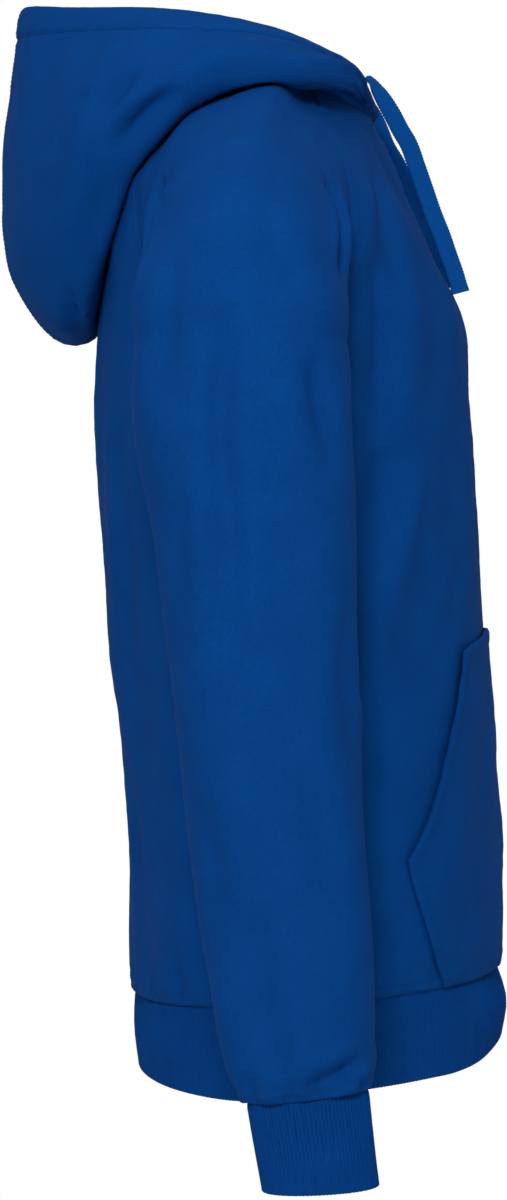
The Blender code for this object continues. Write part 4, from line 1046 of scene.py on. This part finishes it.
def makeBand(name, replaced, outer, inner):
    down = np.broadcast_to(np.array([0, 0, -1.0]), outer[0].shape)
    rim = roundedRim(inner[0], outer[0], down, steps=5, bulge=0.8)
    around = np.broadcast_to(lengthsAlong(outer[-1]), outer.shape[:2])
    return clothShell(name, outer, inner, clothUv(around, outer), [ribFace, ribFace],
                      replaced, lowRim=rim, wrapped=True)


print("hem band and cuffs")
hemBand = makeBand("hemBand", ["hem_band"], bandOuter, bandInner)


def placeCuffRing(ring, outward, down, drawn):
    settings = cuffSettings
    slope = sleeveRings["tilt"][0]
    first = ring[0].copy()
    ring = ring + outward * (-settings["narrowing"] * down - settings["inset"] + drawn)[:, None]
    ring[:, 2] = first[2] + slope * (ring[:, 1] - first[1]) - clothSettings["seamGap"]
    ring += down * np.array([*settings["lean"], -settings["depth"]])
    ring[:, 2] -= settings["levelling"] * down * slope * (ring[:, 1] - ring[:, 1].mean())
    return ring


cuffPieces = []
cuffGrids = []
for side, grid, seed in ((-1, rightSleeve, 301), (1, leftSleeve, 331)):
    outer, inner = ribBand(grid[0, :-1], cuffSettings, placeCuffRing, seed)
    # the sleeve's ring runs the way that faces its rows outwards
    if side > 0:
        outer, inner = mirrored(outer), mirrored(inner)
    cuffGrids.append(outer)
    cuffPieces.append(makeBand(*sided("cuff", side), outer, inner))


# Hood

hoodSettings = {
    "columns": (38, 20, 54), "rows": 64, "joints": (0.44, 0.67), "neckGap": -0.0022,
    "clearance": 0.0016, "creasedClearance": 0.0009, "search": 0.03, "settle": 0.017,
    "tunnel": 0.022, "tunnelWall": 0.0042, "tunnelStep": (0.019, 0.004), "puff": 0.0012,
    "stitchDip": 0.0008, "ripple": 0.0005, "centreStitches": 0.0030,
    "rollOut": 0.010, "rollUp": 0.008, "corner": (0.74, 0.74, 0.28), "topUp": 0.003,
    "neckRows": 8, "neckSpan": 0.012, "rimRows": 20, "rimSpan": 0.026,
    "shortest": 0.045,       # the hem's stitches leave out what is shorter from neck to rim
}
# from the middle of the front, at 0, to the middle of the back, at 1
hoodLeg = table(
    "at   midX     midY     midZ     foldX    foldY    foldZ",
    (0.00, -0.0012, -0.0762, -0.0190, -0.0020, -0.0785, -0.0165),
    (0.15, -0.0430, -0.0698, -0.0165, -0.0488, -0.0710, -0.0105),
    (0.30, -0.0840, -0.0550, -0.0105, -0.1000, -0.0560, -0.0118),
    (0.44, -0.1070, -0.0280, -0.0040, -0.1320, -0.0280, -0.0142),
    (0.55, -0.1150, 0.0020, -0.0045, -0.1480, 0.0060, -0.0155),
    (0.67, -0.1100, 0.0380, -0.0070, -0.1480, 0.0460, -0.0240),
    (0.80, -0.0900, 0.0700, -0.0180, -0.1370, 0.0950, -0.0640),
    (0.90, -0.0640, 0.1060, -0.0500, -0.1020, 0.1255, -0.1410),
    (0.95, -0.0340, 0.1160, -0.0750, -0.0630, 0.1395, -0.1730),
    (1.00, 0.0000, 0.1190, -0.0850, 0.0000, 0.1460, -0.1820),
)
hoodBag = table(
    "at   bulgeX   bulgeY   bulgeZ   rimX     rimY     rimZ     puff",
    (0.00, -0.0030, -0.0790, -0.0130, -0.0045, -0.0788, -0.0092, 0.06),
    (0.15, -0.0465, -0.0708, -0.0048, -0.0340, -0.0702, -0.0006, 0.06),
    (0.30, -0.1020, -0.0596, -0.0010, -0.0620, -0.0592, 0.0104, 0.06),
    (0.44, -0.1400, -0.0310, 0.0000, -0.0880, -0.0420, 0.0178, 0.06),
    (0.55, -0.1570, 0.0050, 0.0010, -0.1080, -0.0120, 0.0280, 0.06),
    (0.67, -0.1600, 0.0500, -0.0040, -0.1210, 0.0300, 0.0370, 0.06),
    (0.80, -0.1500, 0.1050, -0.0250, -0.1100, 0.0850, 0.0455, 0.06),
    (0.90, -0.1080, 0.1550, -0.0450, -0.0660, 0.1450, 0.0535, 0.05),
    (0.95, -0.0580, 0.1810, -0.0520, -0.0360, 0.1700, 0.0595, 0.03),
    (1.00, 0.0000, 0.1947, -0.0550, 0.0000, 0.1810, 0.0630, 0.012),
)


def surfaceTree(grids):
    points = []
    faces = []
    for grid in grids:
        faces.extend((gridQuads(*grid.shape[:2]) + len(points)).tolist())
        points.extend(grid.reshape(-1, 3).tolist())
    return BVHTree.FromPolygons(points, faces)


def restOn(grid, surface, clearance, settle=0.0, evened=0):
    # moves points out until they clear the shoulders, and lets those just above them sink
    # towards that clearance; the moves are evened out over the neighbours, and the first
    # row is sewn on and stays
    fromSeam = fromEdge(grid, 0)
    length = fromSeam[-1]
    moves = np.zeros_like(grid)
    for i in range(1, len(grid)):
        for j in range(grid.shape[1]):
            spot, normal, _, _ = surface.find_nearest(Vector(grid[i, j]), hoodSettings["search"])
            if spot is None:
                continue
            height = (Vector(grid[i, j]) - spot).dot(normal)
            wanted = min(clearance, 0.4 * fromSeam[i, j])
            if height < wanted:
                moves[i, j] = np.array(normal) * (wanted - height)
            elif settle and height < wanted + settle:
                above = height - wanted
                sink = 0.9 * above * (1 - fade(above - 0.4 * settle, 0.6 * settle))
                sink *= fade(fromSeam[i, j], 0.02) * fade(length[j] - 0.09, 0.06)
                moves[i, j] = -np.array(normal) * sink
    for _ in range(evened):
        padded = np.pad(moves, ((1, 1), (1, 1), (0, 0)), "edge")
        moves = (padded[1:-1, 1:-1] * 2 + padded[:-2, 1:-1] + padded[2:, 1:-1]
                 + padded[1:-1, :-2] + padded[1:-1, 2:]) / 6
        moves[0] = 0
    grid += moves


def neckHalfRing(fractionsByPart):
    front = panelHalfRow(frontLevels, yokeHeight, -1)
    sleeve = sleeveRow(yokeHeight)[0][::-1]
    back = panelHalfRow(backLevels, yokeHeight, 1)[::-1]
    parts = [spaced(curve, f) for curve, f in zip((front, sleeve, back), fractionsByPart)]
    return np.concatenate([parts[0], parts[1][1:], parts[2][1:]])


def hoodSections(surface):
    settings = hoodSettings
    fractions = [np.linspace(0, 1, count + 1) for count in settings["columns"]]
    fractions[2] = np.sin(fractions[2] * math.pi / 2) ** 0.9
    neck = neckHalfRing(fractions)
    knots = (0.0, *settings["joints"], 1.0)
    at = np.concatenate([
        knots[k] + (knots[k + 1] - knots[k]) * fractions[k][min(k, 1):] for k in range(3)])
    mirrorAt = np.concatenate([hoodLeg["at"], 2 - hoodLeg["at"][-2::-1]])

    def control(sections, name, sign=1):
        values = sections[name]
        return smoothCurve(mirrorAt, np.concatenate([values, sign * values[-2::-1]]), at)

    def controlPoints(sections, name):
        return np.stack([control(sections, name + "X", -1), control(sections, name + "Y"),
                         control(sections, name + "Z")], -1)

    mid = controlPoints(hoodLeg, "mid")
    fold = controlPoints(hoodLeg, "fold")
    bulge = controlPoints(hoodBag, "bulge")
    rim = controlPoints(hoodBag, "rim")
    puff = control(hoodBag, "puff")[:, None]
    start = neck + np.array([0, 0, settings["neckGap"]])
    outward = mid - start
    outward[:, 2] = 0
    rise = np.minimum(1, np.linalg.norm(outward, axis=1) / 0.03)[:, None]
    roll = start + rise * settings["rollOut"] * unit(outward)
    roll += rise * np.array([0, 0, settings["rollUp"]])
    hanging = np.clip((mid[:, 2:] - fold[:, 2:]) / 0.08, 0, 1)
    heel = fold + (mid - fold) * (0.5 + hanging * np.array([0.2, 0.2, -0.44]))
    corner = fold + np.array(settings["corner"]) * (bulge - fold)
    top = (bulge + rim) / 2 + rise * (puff * (bulge - mid) + np.array([0, 0, settings["topUp"]]))
    sections = []
    for k in range(len(at)):
        through = np.array([start[k], roll[k], mid[k], heel[k], fold[k], corner[k], bulge[k],
                            top[k], rim[k]])
        curve = smoothLine(through, count=320)
        # the rounded rim reaches a little beyond the last row
        length = lengthsAlong(curve)[-1] - settings["tunnelWall"] / 2 * 0.8
        nearNeck = np.linspace(0, min(settings["neckSpan"], 0.2 * length), settings["neckRows"])
        nearRim = np.linspace(length - min(settings["rimSpan"], 0.5 * length), length,
                              settings["rimRows"])
        middle = np.linspace(nearNeck[-1], nearRim[0], settings["rows"] + 1)[1:-1]
        places = np.concatenate([nearNeck, middle, nearRim]) / lengthsAlong(curve)[-1]
        sections.append(spaced(curve, places))
    grid = np.array(sections).transpose(1, 0, 2)[:, ::-1].copy()
    restOn(grid, surface, settings["clearance"], settings["settle"], 12)
    restOn(grid, surface, settings["clearance"], 0.0, 2)
    grid[..., 0] = np.minimum(grid[..., 0], -halfGap)
    return grid


def hoodRelief(grid, normals, seed, sway):
    settings = hoodSettings
    centreAway = fromEdge(grid, 1)
    frontAway = fromEdge(grid, 1, True)
    neckAway = fromEdge(grid, 0)
    rimAway = fromEdge(grid, 0, True)
    sideways = np.clip(np.abs(normals[..., 0]) * 2.2 - 0.15, 0, 1)
    # the creases are placed from the side, so they fade where the cloth turns to the back
    creases = foldRelief(grid[..., 1], grid[..., 2], hoodCreases, sway, seed)
    creases *= sideways * fade(-grid[..., 0], 0.02)
    hemPlace = rimAway - settings["tunnel"]
    slow = clothUnevenness["slow"] * softUndulation(centreAway, neckAway, seed, 0.05, 0.12, 1.0)
    large = (creases + slow) * fade(centreAway, 0.02) * fade(neckAway, 0.02)
    large *= fade(hemPlace, 0.015) * fade(frontAway, 0.03)
    fine = fineUnevenness(centreAway, neckAway, seed + 1) * fade(centreAway, fineReach)
    # the hem that carries the cord: a row of stitches, and the cloth filled out over it
    stitchLine = -settings["stitchDip"] * np.exp(-(hemPlace / 0.0016) ** 2)
    across = 2 * rimAway / settings["tunnel"] - 1
    filled = settings["puff"] * np.sqrt(np.clip(1 - across ** 2, 0, 1))
    ripple = settings["ripple"] * waves(centreAway, seed + 2, 0.009, 0.022)
    ripple *= np.exp(-np.abs(hemPlace) / 0.008)
    long = fade(neckAway + rimAway - 0.03, 0.03)      # the front ends are too short for it
    return (large + fine + (stitchLine + filled + ripple) * long
            + seamRelief(centreAway, neckAway, seed + 3) * fade(rimAway, 0.004)
            + seamRelief(neckAway, centreAway, seed + 4, 0.0004) * long)


print("hood")
bodySurfaces = [surfaceTree([frontGrid, backGrid, rightSleeve]),
                surfaceTree([mirrored(frontGrid), mirrored(backGrid), leftSleeve])]
hoodBase = hoodSections(bodySurfaces[0])
hoodPieces = []
hoodFaces = []
for side, seed, sway, surface in zip((-1, 1), (401, 431), (0.0, 0.004), bodySurfaces):
    baseNormals = gridNormals(hoodBase)
    grid = hoodBase + hoodRelief(hoodBase, baseNormals, seed, sway)[..., None] * baseNormals
    for evened in (1, 0):
        restOn(grid, surface, hoodSettings["creasedClearance"], 0.0, evened)
    grid[..., 0] = np.minimum(grid[..., 0], -halfGap)
    normals = gridNormals(grid)
    normals[:, 0, 0] = 0
    normals = unit(normals)
    rimAway = fromEdge(grid, 0, True)
    stepAt, stepReach = hoodSettings["tunnelStep"]
    inTunnel = 1 - fade(rimAway - stepAt, stepReach)
    thick = wall + (hoodSettings["tunnelWall"] - wall) * inTunnel
    inner = grid - thick[..., None] * normals
    rimRows = roundedRim(grid[-1], inner[-1], unit(grid[-1] - grid[-2]), steps=6)
    uv = clothUv(fromEdge(grid, 1), grid)
    if side > 0:
        grid, inner, normals, uv = mirrored(grid), mirrored(inner), mirrored(normals), uv[:, ::-1]
        rimRows = [(row * np.array([-1.0, 1.0, 1.0]))[::-1] for row in rimRows]
    hoodFaces.append((grid, normals))
    name, replaced = sided("hood", side)
    hoodPieces.append(clothShell(name, grid, inner, uv, cloth, replaced, topRim=rimRows))


# Kangaroo pocket

pocketSettings = {
    "lift": 0.0022, "standOff": 0.0011, "topDrop": 0.015, "dropFrom": -0.48, "corner": -0.5424,
    "edging": 0.0144, "lowRows": 22, "highRows": 34, "columns": 34, "hem": 0.0006,
    "hemDepth": 0.0085, "thinned": 0.0010, "pressed": 0.75, "stitchDip": 0.00035,
    "stitchRows": (0.0062, 0.0094), "stitchRun": (0.005, 0.985), "ripple": 0.00028,
    "slow": 0.0005, "frontY": -0.03,
}
pocketOutline = table(
    "z       reach",
    (-0.6320, 0.618), (-0.6050, 0.669), (-0.5750, 0.708), (-0.5424, 0.739), (-0.5229, 0.683),
    (-0.5035, 0.633), (-0.4750, 0.574), (-0.4450, 0.515), (-0.4150, 0.472), (-0.3900, 0.445),
)


def makePocket():
    settings = pocketSettings
    outline = pocketOutline
    lowest, corner, highest = outline["z"][0], settings["corner"], outline["z"][-1]
    edging = settings["edging"]
    edge = np.array([0, 0.6, 1.4, 2.4, 3.6, 5.0, 6.4, 7.8, 9.4, 11.4]) / 1000
    rows = np.concatenate([lowest + edge, np.linspace(lowest + edging, corner, settings["lowRows"]),
                           np.linspace(corner, highest - edging, settings["highRows"])[1:],
                           highest - edge[::-1]])
    # the outline turns sharply at the corner, so it is read below it or above it
    below, above = ([outline[name][part] for name in ("z", "reach")]
                    for part in (slice(None, 4), slice(3, None)))
    reaches = np.where(rows < corner, smoothCurve(*below, rows), smoothCurve(*above, rows))
    grid = []
    at = []
    for z, reach in zip(rows, reaches):
        height = z - armpitZ
        offset = levelAt(frontLevels, height)["midZ"] - armpitZ - height
        length = lengthsAlong(panelHalfRow(frontLevels, height - offset, -1))[-1]
        halfLength = reach * length
        inward = np.concatenate([np.linspace(0, halfLength - edging, settings["columns"]),
                                 halfLength - edge[::-1]])
        # the upper rows bend down towards the sides, as the top edge does
        bent = (z - settings["dropFrom"]) / (highest - settings["dropFrom"])
        bend = settings["topDrop"] * np.clip(bent, 0, 1) ** 2
        half = []
        for place in inward:
            lower = height - offset - bend * (place / halfLength) ** 2
            half.append(spaced(panelHalfRow(frontLevels, lower, -1), [place / length])[0])
        half = np.array(half)
        grid.append(np.concatenate([half[::-1], (half * np.array([-1, 1, 1]))[1:]]))
        at.append(np.concatenate([-inward[::-1], inward[1:]]))
    grid = np.array(grid)
    at = np.array(at)
    normals = gridNormals(grid)
    # the front's own relief, so that the pocket lies on it everywhere
    z = grid[..., 2]
    away = np.full(z.shape, 0.2)
    hemAway = z - (bodyRings["z"][0] + hemTilt * (grid[..., 1] - settings["frontY"]))
    relief = panelRelief(at, z, (away, np.maximum(hemAway, 0), away), frontFolds, 11)
    across = np.abs(at) / np.abs(at).max(axis=1, keepdims=True)
    opening = fade(z - (corner - 0.014), 0.02) * fade(highest - z, 0.03)
    lift = settings["lift"] * np.clip((across - 0.75) / 0.25, 0, 1) ** 2 * opening
    # sewn into the hem seam, so it lies flat there
    flatten = 1 - fade(fromEdge(grid, 0), 0.012)
    # turned edges: double cloth, held down by two rows of stitches
    turned = np.minimum(fromNearer(grid, 1), fromEdge(grid, 0, True))
    hem = settings["hem"] * (fade(turned, 0.0018) - fade(turned - settings["hemDepth"], 0.003))
    stitches = -settings["stitchDip"] * sum(np.exp(-((turned - row) / 0.0009) ** 2)
                                             for row in settings["stitchRows"])
    ripple = settings["ripple"] * waves(z + np.abs(at), 505, 0.008, 0.018)
    ripple *= np.exp(-turned / 0.010)
    slow = settings["slow"] * softUndulation(at, z, 511, 0.05, 0.11, 0.6) * fade(turned, 0.02)
    sewn = hem + stitches + ripple + np.maximum(slow, -0.0006)
    thickness = wall - settings["thinned"] * flatten
    standOff = settings["standOff"] * (1 - settings["pressed"] * flatten)
    raised = relief + standOff + thickness + lift + sewn * (1 - flatten)
    outer = grid + raised[..., None] * normals
    inner = outer - thickness[..., None] * normals
    return outer, inner, gridNormals(outer), clothUv(at, grid)


print("pocket")
pocketGrid, pocketInner, pocketNormals, pocketUv = makePocket()
beyondTop = unit(pocketGrid[-1] - pocketGrid[-2])
pocketPiece = clothShell("kangarooPocket", pocketGrid, pocketInner, pocketUv, cloth,
                         ["pocket"],
                         topRim=roundedRim(pocketGrid[-1], pocketInner[-1], beyondTop, steps=5,
                                           bulge=0.6))


# Stitching

stitchSettings = {
    "length": 0.0028, "pitch": 0.0033, "radius": 0.00034, "sink": 0.25,
    # distances from the seams
    "raglan": [0.0030], "cuff": [0.0030, 0.0080], "hem": [0.0032, 0.0090], "neck": [0.0045],
}


def offsetLine(grid, normals, distance, edge):
    # the line on the cloth that runs at this distance from one edge
    both = np.concatenate([grid, normals], -1)
    if edge in ("firstRow", "lastRow"):
        both = both.transpose(1, 0, 2)
    if edge in ("lastRow", "lastColumn"):
        both = both[:, ::-1]
    points = []
    for row in both:
        along = lengthsAlong(row)
        points.append([np.interp(distance, along, row[:, k]) for k in range(6)])
    return np.array(points)


def stitchesAlong(line, start=0.0, end=1.0):
    # middle, direction and outward normal of every stitch
    settings = stitchSettings
    along = lengthsAlong(line)
    pitch, half = settings["pitch"], settings["length"] / 2
    places = np.arange(start * along[-1] + pitch / 2, end * along[-1], pitch)

    def read(at):
        return np.stack([np.interp(at, along, line[:, k]) for k in range(6)], -1)

    middle = read(places)
    direction = unit(read(places + half)[:, :3] - read(places - half)[:, :3])
    normal = unit(middle[:, 3:])
    normal = unit(normal - (normal * direction).sum(1, keepdims=True) * direction)
    return middle[:, :3], direction, normal


bpy.ops.mesh.primitive_uv_sphere_add(segments=5, ring_count=4, radius=1.0)
stitchModel = bpy.context.object
stitchPoints = np.array([v.co[:] for v in stitchModel.data.vertices])
stitchPolygons = [list(p.vertices) for p in stitchModel.data.polygons]
bpy.data.objects.remove(stitchModel, do_unlink=True)


def makeStitches(name, lines):
    # one small rounded stitch, repeated along the lines and joined
    settings = stitchSettings
    middles, directions, normals = (np.concatenate(part) for part in zip(*lines))
    across = np.cross(normals, directions)
    low = settings["radius"] * settings["sink"]
    points = (middles[:, None] + normals[:, None] * low
              + stitchPoints[None, :, 2:3] * settings["length"] / 2 * directions[:, None]
              + stitchPoints[None, :, 0:1] * settings["radius"] * across[:, None]
              + stitchPoints[None, :, 1:2] * settings["radius"] * normals[:, None])
    count = len(stitchPoints)
    faces = [[v + k * count for v in polygon] for k in range(len(middles))
             for polygon in stitchPolygons]
    mesh = bpy.data.meshes.new(name)
    mesh.from_pydata(points.reshape(-1, 3).tolist(), [], faces)
    cleaned(mesh, turned=True)
    finishPiece(name, mesh, [sewingThread])


def stitchRows(grid, normals, distances, edges, run=(0.0, 1.0)):
    return [stitchesAlong(offsetLine(grid, normals, distance, edge), *run)
            for distance in distances for edge in edges]


print("stitching")
sides = ("firstColumn", "lastColumn")
sleeveRows, cuffRows = [], []
for grid, normals in sleeveFaces:
    sleeveRows += stitchRows(grid[sleeveBelow:], normals[sleeveBelow:], stitchSettings["raglan"],
                             sides)
    cuffRows += stitchRows(grid, normals, stitchSettings["cuff"], ["firstRow"])
bodyRows, hemRows = [], []
for grid, normals in ((frontGrid, frontNormals), (backGrid, backNormals)):
    bodyRows += stitchRows(grid[bodyBelow:], normals[bodyBelow:], stitchSettings["raglan"], sides)
    bodyRows += stitchRows(grid, normals, stitchSettings["neck"], ["lastRow"])
    hemRows += stitchRows(grid, normals, stitchSettings["hem"], ["firstRow"])
hoodRows = []
for (grid, normals), centre in zip(hoodFaces, sides):
    hoodRows += stitchRows(grid, normals, [hoodSettings["centreStitches"]], [centre])
    tunnel = offsetLine(grid, normals, hoodSettings["tunnel"], "lastRow")
    hoodRows.append(stitchesAlong(tunnel[fromEdge(grid, 0)[-1] > hoodSettings["shortest"]]))
pocketRows = stitchRows(pocketGrid, pocketNormals, pocketSettings["stitchRows"],
                        (*sides, "lastRow"), pocketSettings["stitchRun"])
makeStitches("raglanSleeveStitches", sleeveRows)
makeStitches("raglanBodyStitches", bodyRows)
makeStitches("cuffStitches", cuffRows)
makeStitches("hemStitches", hemRows)
makeStitches("hoodStitches", hoodRows)
makeStitches("pocketStitches", pocketRows)


# What each sheet was cut to

def declareSheet(piece, grid, flat, wrapped=False):
    if wrapped:
        grid = np.concatenate([grid, grid[:, :1]], axis=1)
    print(piece.name, "outer face", round(sheetArea(grid), 4), "m2, cut", flat)


declareSheet(frontPiece, frontGrid, (0.56, 0.62))
declareSheet(backPiece, backGrid, (0.56, 0.68))
for piece, (grid, _) in zip(sleevePieces, sleeveFaces):
    declareSheet(piece, grid, (0.44, 0.77))
declareSheet(hemBand, bandOuter, (1.02, 0.060), True)
for piece, grid, name in zip(cuffPieces, cuffGrids, ("sleeveRight", "sleeveLeft")):
    declareSheet(piece, grid, (0.205, 0.060), True)
for piece, (grid, _) in zip(hoodPieces, hoodFaces):
    declareSheet(piece, grid, (0.42, 0.44))
declareSheet(pocketPiece, pocketGrid, (0.42, 0.25))


# Floor, backdrop and light

stageSettings = {"floorZ": -1.45, "radius": 3.0, "backdrop": "#FFFFFF", "fill": 0.66}
bpy.ops.mesh.primitive_circle_add(vertices=96, radius=stageSettings["radius"], fill_type="NGON",
                                  location=(0, 0, stageSettings["floorZ"]))
floor = bpy.context.object
floor.name = "studioFloor"
floorMaterial, floorTree, floorShader = newMaterial("matt white studio floor", {"Roughness": 0.9})
floorPlace = addNode(floorTree, "ShaderNodeTexCoord").outputs["Object"]
floorNoise = addNode(floorTree, "ShaderNodeTexNoise",
                     {"Vector": floorPlace, "Scale": 3.0}).outputs["Fac"]
floorColour = addNode(floorTree, "ShaderNodeMix", {
    0: floorNoise, 6: linearColour("#F2F2F2"), 7: linearColour("#F6F6F6")},
    data_type="RGBA").outputs[2]
floorTree.links.new(floorColour, floorShader.inputs["Base Color"])
floor.data.materials.append(floorMaterial)

world = bpy.data.worlds.new("softStudio")
bpy.context.scene.world = world
world.use_nodes = True
background = world.node_tree.nodes["Background"]
background.inputs["Color"].default_value = linearColour(stageSettings["backdrop"])
# the white backdrop is seen at full strength, and lights the cloth as a weaker fill
seen = addNode(world.node_tree, "ShaderNodeLightPath").outputs["Is Camera Ray"]
strength = addNode(world.node_tree, "ShaderNodeMapRange", {
    "Value": seen, "To Min": stageSettings["fill"], "To Max": 1.0}).outputs["Result"]
world.node_tree.links.new(strength, background.inputs["Strength"])

lights = [
    # name, place, size, watts
    ("keySoftbox", (-2.75, 0.26, 0.85), 0.55, 70),
    ("topSoftbox", (-0.7, 0.1, 2.2), 1.0, 14),
]
for name, place, size, watts in lights:
    aim = (Vector((0, 0, -0.35)) - Vector(place)).to_track_quat("-Z", "Y").to_euler()
    bpy.ops.object.light_add(type="AREA", location=place, rotation=aim)
    light = bpy.context.object
    light.name = name
    light.data.size = size
    light.data.energy = watts
